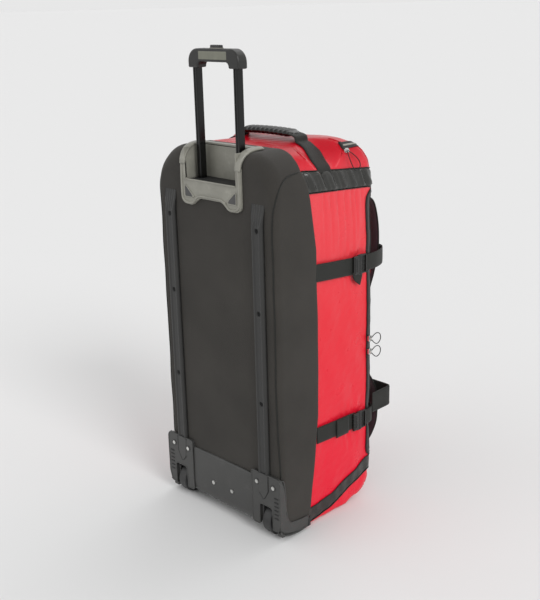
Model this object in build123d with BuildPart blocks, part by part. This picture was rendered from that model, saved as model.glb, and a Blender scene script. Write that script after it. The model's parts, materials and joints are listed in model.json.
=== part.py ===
from build123d import *
import math
import os

os.makedirs("parts", exist_ok=True)

# Rolling duffel bag standing on its wheels. Z is up, X runs across the bag and +Y points to the
# lid. The origin is on the floor under the middle of the bag. Depths are measured forward from
# the back plane, which is the rearmost plane of the rails, wheel housings and wheels.

# Driving dimensions, mm
overall_depth = 388.0
tray_half_width = 181.0
tray_back = 9.0
tray_bottom = 22.0
tray_top = 836.0
tray_wall = 5.0
bag_half_width = 178.0
bag_front = 322.0
bag_wall = 3.0
bag_top = 846.0
bag_shoulder = 90.0
bag_corner = 28.0
trim_thickness = 2.0
rail_x = 136.0
rail_width = 32.0
rail_top = 725.0
tube_x = 61.0
tube_depth = 37.0
tube_size = (12.0, 17.0)
tube_wall = 1.2
tube_bottom = 560.0
tube_clearance = 0.3
guide_wall = 1.5
pocket_half_width = 78.0
pocket_front = 58.0
pocket_floor = 768.0
pocket_wall = 3.0
socket_bottom = 996.0
grip_half_width = 76.0
grip_top = 1034.0
grip_half_depth = 13.0
wheel_radius = 36.0
wheel_width = 26.0
wheel_x = 143.0
axle_radius = 4.0
bearing_radius = 10.0
hub_radius = 24.0
running_clearance = 0.05
well_half_width = 15.0
well_wall = 4.0
housing_top = 152.0
housing_inner_x = 100.0
housing_outer_x = 187.0
rivet_radius = 4.5
webbing_thickness = 2.0
strap_height = 36.0
upper_strap_z = 574.0
lower_strap_z = 206.0
buckle_depth = 262.0
cord_diameter = 2.0
sides = (("left", -1), ("right", 1))


def y_at(depth):
    """Y of a plane at this depth forward of the back plane."""
    return depth - overall_depth / 2


def save(piece, label):
    """Name a finished piece and write it as its own file."""
    piece.label = label
    export_step(piece, f"parts/{label}.step")


def span(sign, low, high):
    """The x range from low to high, on the left (-1) or right (1) side of the bag."""
    return sorted((sign * low, sign * high))


def block(x_range, depth_range, z_range):
    """A plain box between two x values, two depths and two heights."""
    size = [high - low for low, high in (x_range, depth_range, z_range)]
    centre = Pos(sum(x_range) / 2, y_at(sum(depth_range) / 2), sum(z_range) / 2)
    return centre * Box(*size, mode=Mode.PRIVATE)


def side_slab(points, x_range):
    """A straight-sided outline of (depth, z) points between two x values."""
    with BuildPart() as slab:
        with BuildSketch(Plane.YZ.offset(x_range[0])):
            with BuildLine():
                Polyline(*[(y_at(depth), z) for depth, z in points], close=True)
            make_face()
        extrude(amount=x_range[1] - x_range[0])
    return slab.part


def plan_ribbon(points, radii, thickness, z_range):
    """Webbing on edge: a band whose middle line runs through (x, depth) points in plan."""
    with BuildPart() as ribbon:
        with BuildSketch(Plane.XY.offset(z_range[0])):
            with BuildLine() as middle:
                FilletPolyline(*[(x, y_at(depth)) for x, depth in points], radius=radii)
            trace(line_width=thickness)
        extrude(amount=z_range[1] - z_range[0])
    return ribbon.part


# ---- Fabric forms -------------------------------------------------------------------------

# Front edge of the tray, which is the seam to the red shell, as (depth, z)
seam_points = ((97, 0), (113, 110), (131, 260), (133, 410), (130, 631), (114, 738), (98, 796),
               (106, 840))


def seam_block(far_depth):
    """The space from the seam to a far plane, as wide as the bag."""
    edge = [(y_at(depth), z) for depth, z in seam_points]
    far = y_at(far_depth)
    with BuildPart() as space:
        with BuildSketch(Plane.YZ.offset(-300)):
            with BuildLine():
                Spline(*edge)
                Polyline(edge[-1], (edge[-1][0], 1000), (far, 1000), (far, -60),
                         (edge[0][0], -60), edge[0])
            make_face()
        extrude(amount=600)
    return space.part


def tray_form(inset):
    """The tray's outer form, or with an inset the space inside it."""
    half = tray_half_width - inset
    low = tray_bottom + inset
    high = tray_top - inset
    radii = [24 - inset, 62 - inset, 62 - inset, 24 - inset]
    with BuildPart() as form:
        with BuildSketch(Plane.XZ.offset(-y_at(tray_back + inset))):
            with BuildLine():
                FilletPolyline((half, low), (half, high), (-half, high), (-half, low),
                               radius=radii, close=True)
            make_face()
        extrude(amount=-(190 - inset))
        fillet(form.faces().sort_by(Axis.Y)[0].edges(), radius=14 - inset)
    return form.part


def bag_form(grow):
    """The red shell's closed outer form, grown outwards (a negative value shrinks it)."""
    half = bag_half_width + grow
    low = max(-grow, 0)
    crown = bag_top + 16 + grow
    shoulder = bag_shoulder + grow
    with BuildPart() as form:
        with BuildSketch(Plane.YZ.offset(-half)):
            with BuildLine():
                Polyline((y_at(228), low), (y_at(60), low), (y_at(60), 828 + grow))
                Spline((y_at(60), 828 + grow), (y_at(106), 833 + grow), (y_at(184), 840 + grow),
                       (y_at(235), bag_top + grow), (y_at(268), 838 + grow),
                       (y_at(298 + grow), 806 + grow), (y_at(314 + grow), 750),
                       (y_at(bag_front + grow), 640), (y_at(bag_front + grow), 380),
                       (y_at(bag_front + grow), 140), (y_at(314 + grow), 64),
                       (y_at(284 + grow), 18 - grow), (y_at(228), low))
            make_face()
        extrude(amount=2 * half)
        with BuildSketch(Plane.XZ.offset(-y_at(-50))):
            with BuildLine():
                FilletPolyline((half, low), (half, crown), (-half, crown), (-half, low),
                               radius=[0, shoulder, shoulder, 0], close=True)
            make_face()
        extrude(amount=-(bag_front + 60), mode=Mode.INTERSECT)
        with BuildSketch(Plane.XY.offset(-20)):
            with Locations((0, y_at(bag_front + grow - 300))):
                RectangleRounded(2 * half, 600, bag_corner + grow)
        extrude(amount=940, mode=Mode.INTERSECT)
    return form.part


behind_seam = seam_block(-150)
ahead_of_seam = seam_block(600)
tray_outside = tray_form(0)
tray_inside = tray_form(tray_wall)
outer_form = bag_form(0)
inner_form = bag_form(-bag_wall)
trim_form = bag_form(trim_thickness)

# Lid: the part of the red shell's front inside the zip
lid_depth = 304.0
lid_z = (106.0, 731.0)
zip_width = 8.0
lid_space = block((-200, 200), (lid_depth, 400), lid_z)
zip_space = block((-200, 200), (lid_depth - zip_width, 400), (lid_z[0] - zip_width, lid_z[1]))

# Wheel wells and trolley pocket, cut out of the tray
well_top = 2 * wheel_radius + 7
cheek_bottom = tray_bottom - 4
well_front = 2 * wheel_radius + 8
well_inner_x = wheel_x - well_half_width - well_wall
well_outer_x = wheel_x + well_half_width + well_wall

with BuildPart() as base_tray:
    add(tray_outside)
    add(tray_inside, mode=Mode.SUBTRACT)
    add(behind_seam, mode=Mode.INTERSECT)
    for name, sign in sides:
        add(block(span(sign, well_inner_x, well_outer_x), (0, well_front), (0, well_top)),
            mode=Mode.SUBTRACT)
    pocket_outer = pocket_half_width + pocket_wall
    add(block((-pocket_outer, pocket_outer), (0, pocket_front + pocket_wall),
              (pocket_floor - pocket_wall, 900)), mode=Mode.SUBTRACT)
save(base_tray.part, "base_tray")

with BuildPart() as red_shell:
    add(outer_form)
    add(inner_form, mode=Mode.SUBTRACT)
    add(ahead_of_seam, mode=Mode.INTERSECT)
    add(lid_space, mode=Mode.SUBTRACT)
save(red_shell.part, "red_shell")

with BuildPart() as lid_panel:
    add(outer_form)
    add(inner_form, mode=Mode.SUBTRACT)
    add(lid_space, mode=Mode.INTERSECT)
save(lid_panel.part, "lid_panel")

with BuildPart() as main_zip:
    add(trim_form)
    add(outer_form, mode=Mode.SUBTRACT)
    add(zip_space, mode=Mode.INTERSECT)
    add(block((-200, 200), (lid_depth, 400), (lid_z[0], lid_z[1] - zip_width)),
        mode=Mode.SUBTRACT)
save(main_zip.part, "main_zip")

bands = {
    "upper_band": ((60, 753), (60, 800), (400, 770), (400, 731)),
    "lower_band": ((97, 11), (97, 45), (174, 51), (232, 73), (296, 98), (400, 98), (400, 66),
                   (300, 66), (232, 42), (173, 20), (125, 11)),
}
for band_name, outline in bands.items():
    slab = side_slab(outline, (-300, 300))
    with BuildPart() as band:
        add(trim_form)
        add(outer_form, mode=Mode.SUBTRACT)
        add(ahead_of_seam, mode=Mode.INTERSECT)
        add(slab, mode=Mode.INTERSECT)
    save(band.part, band_name)

# ---- Trolley pocket, guide tubes and back board ----------------------------------------------

with BuildPart() as trolley_bezel:
    with BuildSketch(Plane.XZ.offset(-y_at(2))):
        with BuildLine():
            FilletPolyline((-92, tray_top), (-92, 716), (-58, 716), (-34, 732), (34, 732),
                           (58, 716), (92, 716), (92, tray_top),
                           radius=[16, 16, 20, 20, 16, 16, 0, 0], close=True)
        make_face()
    extrude(amount=-(tray_back - 2))
    add(block((-pocket_outer, pocket_outer), (tray_back, pocket_front + pocket_wall),
              (pocket_floor - pocket_wall, tray_top)))
    add(block((-97, 97), (tray_back - 2, pocket_front + 12), (tray_top, tray_top + 4)))
    add(block((-pocket_half_width, pocket_half_width), (-5, pocket_front), (pocket_floor, 900)),
        mode=Mode.SUBTRACT)
    with Locations(*[(sign * tube_x, y_at(tube_depth), pocket_floor) for name, sign in sides]):
        Box(tube_size[0] + 2 * tube_clearance, tube_size[1] + 2 * tube_clearance, 20,
            mode=Mode.SUBTRACT)
save(trolley_bezel.part, "trolley_bezel")

guide_bottom = 86.0
guide_inner = [side + 2 * tube_clearance for side in tube_size]
guide_outer = [side + 2 * guide_wall for side in guide_inner]
for name, sign in sides:
    with BuildPart() as guide_tube:
        with BuildSketch(Plane.XY.offset(guide_bottom)):
            with Locations((sign * tube_x, y_at(tube_depth))):
                RectangleRounded(*guide_outer, 4)
                RectangleRounded(*guide_inner, 2.4, mode=Mode.SUBTRACT)
        extrude(amount=pocket_floor - pocket_wall - guide_bottom)
    save(guide_tube.part, f"guide_tube_{name}")

with BuildPart() as guide_bracket:
    add(block((-86, 86), (17, 60), (66, guide_bottom)))
    for name, sign in sides:
        add(block(span(sign, tube_x - 4, tube_x + 4), (tube_depth - 5, tube_depth + 5),
                  (70, 100)), mode=Mode.SUBTRACT)
    fillet(guide_bracket.edges().filter_by(Axis.Z).sort_by(Axis.Y)[-4:], radius=3)
save(guide_bracket.part, "guide_bracket")

with BuildPart() as back_board:
    with BuildSketch(Plane.XZ.offset(-y_at(tray_back + tray_wall))):
        with BuildLine():
            FilletPolyline((-160, 84), (160, 84), (160, 800), (84, 800), (84, 760), (-84, 760),
                           (-84, 800), (-160, 800), radius=[8, 8, 40, 4, 4, 4, 4, 40], close=True)
        make_face()
    extrude(amount=-3)
save(back_board.part, "back_board")

# ---- Back rails, kick plate and wheel housings -------------------------------------------------

screw_heights = (314.0, 513.0, 686.0)
ramp = side_slab(((-1, 690), (-1, 740), (8, 740), (7, 727)), (-200, 200))
for name, sign in sides:
    with BuildPart() as rail:
        with BuildSketch(Plane.XY.offset(housing_top)):
            with Locations((sign * rail_x, y_at(tray_back / 2))):
                Rectangle(rail_width, tray_back)
        extrude(amount=rail_top - housing_top)
        add(ramp, mode=Mode.SUBTRACT)
        fillet(rail.edges().filter_by(Axis.Z).sort_by(Axis.Y)[:2], radius=4)
        with Locations(Plane.XZ.offset(-y_at(0))):
            with Locations(*[(sign * rail_x, height) for height in screw_heights]):
                Hole(radius=5, depth=5)
    save(rail.part, f"rail_{name}")

with BuildPart() as rail_screws:
    with BuildSketch(Plane.XZ.offset(-y_at(5))):
        with Locations(*[(sign * rail_x, z) for name, sign in sides for z in screw_heights]):
            Circle(4)
    extrude(amount=2)
save(rail_screws.part, "rail_screws")

with BuildPart() as kick_plate:
    with BuildSketch(Plane.XZ.offset(-y_at(4))):
        with BuildLine():
            Polyline((housing_inner_x, 30), (housing_inner_x, 136), (-housing_inner_x, 136),
                     (-housing_inner_x, 30))
            ThreePointArc((-housing_inner_x, 30), (0, 24), (housing_inner_x, 30))
        make_face()
    extrude(amount=-(tray_back - 4))
save(kick_plate.part, "kick_plate")

with BuildPart() as kick_plate_rivets:
    with BuildSketch(Plane.XZ.offset(-y_at(4))):
        with Locations((-31, 70), (31, 70)):
            Circle(rivet_radius)
    extrude(amount=1.8)
save(kick_plate_rivets.part, "kick_plate_rivets")

lip_outline = ((0, 27), (0, housing_top), (17, housing_top), (25, 118), (27, 60), (38, 34),
               (86, 30), (95, 22), (95, 3), (80, 1), (30, 10))
for name, sign in sides:
    lip = side_slab(lip_outline, span(sign, tray_half_width, housing_outer_x))
    with BuildPart() as wheel_housing:
        with BuildSketch(Plane.XZ.offset(-y_at(0))):
            with BuildLine():
                FilletPolyline(*[(sign * x, z) for x, z in (
                    (housing_inner_x, 27), (housing_inner_x, housing_top),
                    (housing_outer_x, housing_top), (housing_outer_x, 27))],
                    radius=[6, 12, 12, 8], close=True)
            make_face()
        extrude(amount=-tray_back)
        add(block(span(sign, well_inner_x, well_outer_x), (1, well_front), (cheek_bottom, well_top)))
        add(lip)
        add(block(span(sign, well_outer_x, tray_half_width), (tray_back, 92), (8, tray_bottom)))
        add(block(span(sign, well_inner_x + well_wall, well_outer_x - well_wall),
                  (-5, well_front - well_wall), (-5, well_top - well_wall)), mode=Mode.SUBTRACT)
        with Locations(Plane.YZ.offset(sign * wheel_x)):
            with Locations((y_at(wheel_radius), wheel_radius)):
                Hole(radius=axle_radius)
        with Locations(Plane.XZ.offset(-y_at(0))):
            with Locations(*[(sign * x, 128) for x in (116, 166)]):
                Hole(radius=rivet_radius, depth=2)
    save(wheel_housing.part, f"wheel_housing_{name}")

    with BuildPart() as axle:
        with BuildSketch(Plane.YZ.offset(sign * wheel_x - 19)):
            with Locations((y_at(wheel_radius), wheel_radius)):
                Circle(axle_radius)
        extrude(amount=38)
    save(axle.part, f"axle_{name}")

    with BuildPart() as wheel_tyre:
        with BuildSketch(Plane.YZ.offset(sign * wheel_x - wheel_width / 2)):
            with Locations((y_at(wheel_radius), wheel_radius)):
                Circle(wheel_radius)
        extrude(amount=wheel_width)
        fillet(wheel_tyre.edges(), radius=4)
        with Locations(Plane.YZ.offset(sign * wheel_x)):
            with Locations((y_at(wheel_radius), wheel_radius)):
                Hole(radius=hub_radius)
    save(wheel_tyre.part, f"wheel_tyre_{name}")

    with BuildPart() as wheel_hub:
        with BuildSketch(Plane.YZ.offset(sign * wheel_x - wheel_width / 2 + 1)):
            with Locations((y_at(wheel_radius), wheel_radius)):
                Circle(hub_radius)
                Circle(bearing_radius, mode=Mode.SUBTRACT)
                with PolarLocations(16.8, 5):
                    Circle(3.4, mode=Mode.SUBTRACT)
        extrude(amount=wheel_width - 2)
    save(wheel_hub.part, f"wheel_hub_{name}")

    with BuildPart() as wheel_bearings:
        for offset_x in (-wheel_width / 2 + 1, wheel_width / 2 - 7):
            with BuildSketch(Plane.YZ.offset(sign * wheel_x + offset_x)):
                with Locations((y_at(wheel_radius), wheel_radius)):
                    Circle(bearing_radius)
                    Circle(axle_radius + running_clearance, mode=Mode.SUBTRACT)
            extrude(amount=6)
    save(wheel_bearings.part, f"wheel_bearings_{name}")

with BuildPart() as housing_rivets:
    with BuildSketch(Plane.XZ.offset(-y_at(2))):
        with Locations(*[(sign * x, 128) for name, sign in sides for x in (116, 166)]):
            Circle(rivet_radius)
    extrude(amount=2)
save(housing_rivets.part, "housing_rivets")

# ---- Trolley handle ------------------------------------------------------------------------------

tube_top = 1014.0
for name, sign in sides:
    with BuildPart() as inner_tube:
        with BuildSketch(Plane.XY.offset(tube_bottom)):
            with Locations((sign * tube_x, y_at(tube_depth))):
                RectangleRounded(*tube_size, 2)
                for groove in (-1, 1):
                    with Locations((0, groove * tube_size[1] / 2)):
                        Rectangle(3, 1.6, mode=Mode.SUBTRACT)
        extrude(amount=tube_top - tube_bottom)
        with BuildSketch(Plane.XY.offset(tube_bottom)):
            with Locations((sign * tube_x, y_at(tube_depth))):
                RectangleRounded(tube_size[0] - 2.4, tube_size[1] - 4.4, 1.5)
        extrude(amount=tube_top - tube_bottom, mode=Mode.SUBTRACT)
    save(inner_tube.part, f"inner_tube_{name}")

    with BuildPart() as tube_plug:
        with BuildSketch(Plane.XY.offset(tube_bottom - 10)):
            with Locations((sign * tube_x, y_at(tube_depth))):
                RectangleRounded(*tube_size, 2)
        extrude(amount=10)
        with BuildSketch(Plane.XY.offset(tube_bottom)):
            with Locations((sign * tube_x, y_at(tube_depth))):
                RectangleRounded(tube_size[0] - 2.4, tube_size[1] - 4.4, 1.5)
        extrude(amount=6)
        with Locations(Plane.YZ.offset(sign * tube_x)):
            with Locations((y_at(tube_depth), tube_bottom - 5)):
                Hole(radius=2.5)
    save(tube_plug.part, f"tube_plug_{name}")

with BuildPart() as lock_pins:
    for name, sign in sides:
        with BuildSketch(Plane.YZ.offset(sign * tube_x - 5.5)):
            with Locations((y_at(tube_depth), tube_bottom - 5)):
                Circle(2.5)
        extrude(amount=11)
save(lock_pins.part, "lock_pins")

with BuildPart() as grip_form:
    with BuildSketch(Plane.XZ.offset(-y_at(tube_depth + grip_half_depth))):
        with BuildLine():
            FilletPolyline((-grip_half_width, socket_bottom), (-grip_half_width, grip_top),
                           (grip_half_width, grip_top), (grip_half_width, socket_bottom),
                           (46, socket_bottom), (46, 1008), (-46, 1008), (-46, socket_bottom),
                           radius=[2, 26, 26, 2, 2, 10, 10, 2], close=True)
        make_face()
    extrude(amount=2 * grip_half_depth)
    fillet(grip_form.faces().sort_by(Axis.Y)[0].edges(), radius=4)
    fillet(grip_form.faces().sort_by(Axis.Y)[-1].edges(), radius=4)
    with Locations((0, y_at(tube_depth), 1021)):
        Box(2 * tube_x + 8, 11, 14, mode=Mode.SUBTRACT)
    with Locations((0, y_at(tube_depth), 1013)):
        Box(12, 10, 4, mode=Mode.SUBTRACT)
    for name, sign in sides:
        with BuildSketch(Plane.XY.offset(socket_bottom - 1)):
            with Locations((sign * tube_x, y_at(tube_depth))):
                RectangleRounded(*tube_size, 2)
        extrude(amount=tube_top - socket_bottom + 1, mode=Mode.SUBTRACT)
    with BuildSketch(Plane.XY.offset(1026)):
        with Locations((0, y_at(tube_depth))):
            SlotOverall(34.6, 12.6)
    extrude(amount=20, mode=Mode.SUBTRACT)

insert_face = tube_depth - grip_half_depth
insert_space = block((-42, 42), (insert_face, insert_face + 1.5), (1013, 1029))
grip_halves = (("grip_back_shell", (0, tube_depth)), ("grip_front_shell", (tube_depth, 80)))
for label, depth_range in grip_halves:
    with BuildPart() as grip_shell:
        add(grip_form.part)
        add(block((-100, 100), depth_range, (990, 1050)), mode=Mode.INTERSECT)
        if label == "grip_back_shell":
            add(insert_space, mode=Mode.SUBTRACT)
    save(grip_shell.part, label)

with BuildPart() as grip_insert:
    add(insert_space)
save(grip_insert.part, "grip_insert")

with BuildPart() as release_button:
    with BuildSketch(Plane.XY.offset(1022)):
        with Locations((0, y_at(tube_depth))):
            Rectangle(36, 10)
    extrude(amount=5.5)
    with BuildSketch(Plane.XY.offset(1024)):
        with Locations((0, y_at(tube_depth))):
            SlotOverall(34, 9.8)
    extrude(amount=17)
    fillet(release_button.faces().sort_by(Axis.Z)[-1].edges(), radius=2)
save(release_button.part, "release_button")

rod_bottom = tube_bottom + 12
with BuildPart() as push_rods:
    with Locations((0, y_at(tube_depth), 1020.5)):
        Box(2 * tube_x + 6, 8, 3)
    for name, sign in sides:
        with BuildSketch(Plane.XY.offset(rod_bottom)):
            with Locations((sign * tube_x, y_at(tube_depth))):
                Circle(2)
        extrude(amount=1020 - rod_bottom)
save(push_rods.part, "push_rods")

with BuildPart() as button_spring:
    with BuildLine() as coil:
        Helix(pitch=1.8, height=7, radius=3, center=(0, y_at(tube_depth), 1011.5))
    with BuildSketch(Plane(origin=coil.line @ 0, z_dir=coil.line % 0)):
        Circle(0.4)
    sweep()
save(button_spring.part, "button_spring")

# ---- Straps, handles, zips -----------------------------------------------------------------------

strap_x = bag_half_width + trim_thickness + webbing_thickness / 2 + 0.5
buckle_length = 40.0
strap_middles = {"upper": upper_strap_z, "lower": lower_strap_z}
for level, middle_z in strap_middles.items():
    z_range = (middle_z - strap_height / 2, middle_z + strap_height / 2)
    for name, sign in sides:
        strap_span = span(sign, strap_x - webbing_thickness / 2, strap_x + webbing_thickness / 2)
        tail = side_slab(((244, middle_z - 23), (270, middle_z - 23), (258, middle_z - 46)),
                         strap_span)
        with BuildPart() as side_strap:
            add(block(strap_span, (134, buckle_depth - buckle_length / 2), z_range))
            add(tail)
        save(side_strap.part, f"side_strap_{level}_{name}")
    corner_depth = buckle_depth + buckle_length / 2
    if level == "upper":
        across = ((-151, 382), (151, 382))
        radii = [20, 16, 16, 20]
        turn = ((-strap_x, 300), *across, (strap_x, 300))
    else:
        turn = ((-strap_x, bag_front + 4), (strap_x, bag_front + 4))
        radii = [26, 26]
    ribbon = plan_ribbon(((-strap_x, corner_depth), *turn, (strap_x, corner_depth)), radii,
                         webbing_thickness, z_range)
    save(ribbon, f"front_strap_{level}")

for label, depth_range in (("buckle_sockets", (buckle_depth - 20, buckle_depth + 4)),
                           ("buckle_plugs", (buckle_depth + 4, buckle_depth + 20))):
    with BuildPart() as buckles:
        for middle_z in strap_middles.values():
            for name, sign in sides:
                add(block(span(sign, strap_x - 1.5, strap_x + 7), depth_range,
                          (middle_z - 22, middle_z + 22)))
        fillet(buckles.edges().filter_by(Axis.Y), radius=3)
    save(buckles.part, label)

with BuildPart() as haul_webbing:
    with BuildSketch(Plane.XZ.offset(-y_at(165))):
        with BuildLine():
            FilletPolyline((-181.5, 788), (-181.5, 815), (-150, 847), (-100, 847), (-80, 855),
                           (80, 855), (100, 847), (150, 847), (181.5, 815), (181.5, 788),
                           radius=[30, 20, 20, 20, 20, 20, 20, 30])
        trace(line_width=webbing_thickness)
    extrude(amount=-38)
save(haul_webbing.part, "haul_webbing")

with BuildPart() as haul_grip:
    with BuildSketch(Plane.YZ.offset(-75)):
        with Locations((y_at(184), 855)):
            RectangleRounded(46, 14, 6)
            Rectangle(38.6, webbing_thickness + 0.6, mode=Mode.SUBTRACT)
    extrude(amount=150)
save(haul_grip.part, "haul_grip")

end_zip_x = (158.0, 172.0)
end_zip_depth = (226.0, 312.0)
with BuildPart() as end_zip:
    add(trim_form)
    add(outer_form, mode=Mode.SUBTRACT)
    add(block(end_zip_x, end_zip_depth, (780, 860)), mode=Mode.INTERSECT)
save(end_zip.part, "end_zip")


def pull_cord(route, label):
    """A thin cord loop through (x, depth, z) points, with its bends as wide as they can be."""
    points = [Vector(x, y_at(depth), z) for x, depth, z in route]
    runs = [end - start for start, end in zip(points, points[1:])]
    radii = []
    for before, after in zip(runs, runs[1:]):
        half_turn = math.radians(before.get_angle(after)) / 2
        radii.append(0.45 * min(before.length, after.length) / math.tan(half_turn))
    with BuildPart() as cord:
        with BuildLine() as line:
            FilletPolyline(*points, radius=radii)
        with BuildSketch(Plane(origin=line.line @ 0, z_dir=line.line % 0)):
            Circle(cord_diameter / 2)
        sweep()
    section = math.pi * cord_diameter ** 2 / 4
    length = sum(edge.length for edge in line.edges())
    print(label, "radii", [round(radius, 1) for radius in radii], "length", round(length, 1),
          "volume / (section x length)", round(cord.part.volume / (section * length), 3))
    save(cord.part, label)


# The end pocket's slider stands square on the rounded shoulder of the shell
slope_x = (sum(end_zip_x) / 2 - (bag_half_width - bag_shoulder)) / bag_shoulder
slope_z = math.sqrt(1 - slope_x ** 2)
shoulder_z = bag_top + 16 - bag_shoulder + slope_z * (bag_shoulder + trim_thickness + 0.4)
shoulder_x = bag_half_width - bag_shoulder + slope_x * (bag_shoulder + trim_thickness + 0.4)
slider_plane = Plane(origin=(shoulder_x, y_at(236), shoulder_z), x_dir=(0, 1, 0),
                     z_dir=(slope_x, 0, slope_z))
with BuildPart() as end_slider:
    with BuildSketch(slider_plane):
        RectangleRounded(15, 10, 3)
    extrude(amount=4)
    with BuildSketch(slider_plane.offset(4)):
        with Locations((-2, 0)):
            Rectangle(6, 4)
    extrude(amount=3)
save(end_slider.part, "end_slider")
pull_cord(((172, 234, 824), (180, 230, 813), (185, 234, 796), (186.5, 243, 780),
           (186.5, 257, 778), (186, 263, 793), (181, 252, 810), (173, 236, 822)), "end_pull_cord")

main_sliders = (("upper", 392.0), ("lower", 361.0))
for name, height in main_sliders:
    with BuildPart() as main_slider:
        add(block((180.4, 184.4), (295, 305), (height - 7, height + 7)))
        fillet(main_slider.edges().filter_by(Axis.X), radius=3)
        add(block((184, 187), (298, 302), (height - 3, height + 3)))
    save(main_slider.part, f"main_slider_{name}")
    pull_cord(((186, 301, height + 1), (187, 311, height + 9), (187, 323, height + 10),
               (187, 333, height + 3), (187, 334, height - 9), (187, 325, height - 17),
               (187, 313, height - 15), (186, 302, height - 2)), f"main_pull_cord_{name}")

# Shoulder straps: padded, bowed out over the lid between the two front straps' ends
pad_inner_x = 86.0
pad_width = 64.0
pad_thickness = 12.0
pad_line = ((331, 708), (353, 690), (368, 640), (368, 580), (352, 528), (333, 480), (333, 300),
            (350, 268), (368, 228), (368, 165), (350, 132), (331, 116))
for name, sign in sides:
    with BuildPart() as shoulder_strap:
        with BuildSketch(Plane.YZ.offset(span(sign, pad_inner_x, pad_inner_x + pad_width)[0])):
            with BuildLine():
                FilletPolyline(*[(y_at(depth), z) for depth, z in pad_line], radius=14)
            trace(line_width=pad_thickness)
        extrude(amount=pad_width)
    save(shoulder_strap.part, f"shoulder_strap_{name}")

    loop_corners = ((sign * 76, 328), (sign * 76, 387), (sign * 176, 387), (sign * 176, 321))
    loop = plan_ribbon(loop_corners, [8, 4], webbing_thickness, (203, 251))
    save(loop, f"grab_loop_{name}")
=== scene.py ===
import json
import math

import bmesh
import bpy
import numpy as np
from mathutils import Matrix, Vector

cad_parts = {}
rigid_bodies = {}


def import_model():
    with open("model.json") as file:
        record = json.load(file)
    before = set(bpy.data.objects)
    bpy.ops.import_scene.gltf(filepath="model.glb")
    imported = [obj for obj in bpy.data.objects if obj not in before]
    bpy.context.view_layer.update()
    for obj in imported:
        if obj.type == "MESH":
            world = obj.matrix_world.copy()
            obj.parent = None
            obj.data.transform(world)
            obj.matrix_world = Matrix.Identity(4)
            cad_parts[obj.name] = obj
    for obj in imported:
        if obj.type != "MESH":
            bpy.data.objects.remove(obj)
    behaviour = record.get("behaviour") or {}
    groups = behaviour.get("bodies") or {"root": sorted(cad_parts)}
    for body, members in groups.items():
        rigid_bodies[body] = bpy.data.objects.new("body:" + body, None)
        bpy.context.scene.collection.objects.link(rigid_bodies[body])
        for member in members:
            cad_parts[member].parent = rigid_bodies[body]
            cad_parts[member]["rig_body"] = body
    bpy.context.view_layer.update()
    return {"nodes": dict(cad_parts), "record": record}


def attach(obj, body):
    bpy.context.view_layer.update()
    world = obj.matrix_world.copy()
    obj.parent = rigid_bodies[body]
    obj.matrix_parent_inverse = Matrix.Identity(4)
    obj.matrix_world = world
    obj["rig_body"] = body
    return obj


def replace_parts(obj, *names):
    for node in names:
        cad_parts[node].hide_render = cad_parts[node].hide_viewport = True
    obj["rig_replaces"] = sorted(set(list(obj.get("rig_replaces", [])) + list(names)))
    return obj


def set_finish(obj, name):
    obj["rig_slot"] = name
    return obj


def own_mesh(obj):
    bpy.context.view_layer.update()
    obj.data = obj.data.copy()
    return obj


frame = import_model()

# Sizes below are millimetres in (x, depth, z), where depth is measured forward of the back plane.
# world() turns them into the frame's metres.
HALF_DEPTH = 194.0
SIDES = (("left", -1), ("right", 1))


def world(points):
    """(x, depth, z) in mm to the frame's metres."""
    return (np.asarray(points, float) - (0.0, HALF_DEPTH, 0.0)) / 1000.0


# ---- Camera, then the cords ----------------------------------------------------------------------

CAMERA_AZIMUTH = math.radians(45.8)
CAMERA_ELEVATION = math.radians(17.4)
CAMERA_ROLL = math.radians(-1.46)
CAMERA_DISTANCE = 1.897
CAMERA_TARGET = Vector((0.1728, -0.194, 0.552))
CAMERA_LENS = 57.0


def make_camera():
    """The main view: from behind the bag's right side, a little above it."""
    back = Vector((math.sin(CAMERA_AZIMUTH) * math.cos(CAMERA_ELEVATION),
                   -math.cos(CAMERA_AZIMUTH) * math.cos(CAMERA_ELEVATION),
                   math.sin(CAMERA_ELEVATION)))
    right = Vector((math.cos(CAMERA_AZIMUTH), math.sin(CAMERA_AZIMUTH), 0.0))
    up = back.cross(right)
    tilted_right = right * math.cos(CAMERA_ROLL) + up * math.sin(CAMERA_ROLL)
    tilted_up = up * math.cos(CAMERA_ROLL) - right * math.sin(CAMERA_ROLL)
    data = bpy.data.cameras.new("camera")
    data.lens = CAMERA_LENS
    data.clip_end = 1000.0
    camera = bpy.data.objects.new("camera", data)
    turn = Matrix((tilted_right, tilted_up, back)).transposed().to_4x4()
    camera.matrix_world = Matrix.Translation(CAMERA_TARGET + back * CAMERA_DISTANCE) @ turn
    bpy.context.scene.collection.objects.link(camera)
    bpy.context.scene.camera = camera


make_camera()

CORD_DIAMETER = 0.002
END_CORD_ROUTE = ((172, 234, 824), (180, 230, 813), (185, 234, 796), (186.5, 243, 780),
                  (186.5, 257, 778), (186, 263, 793), (181, 252, 810), (173, 236, 822))


def main_cord_route(height):
    """The main zip's cord loop, for a slider whose middle is at this height."""
    return ((186, 301, height + 1), (187, 311, height + 9), (187, 323, height + 10),
            (187, 333, height + 3), (187, 334, height - 9), (187, 325, height - 17),
            (187, 313, height - 15), (186, 302, height - 2))


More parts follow.
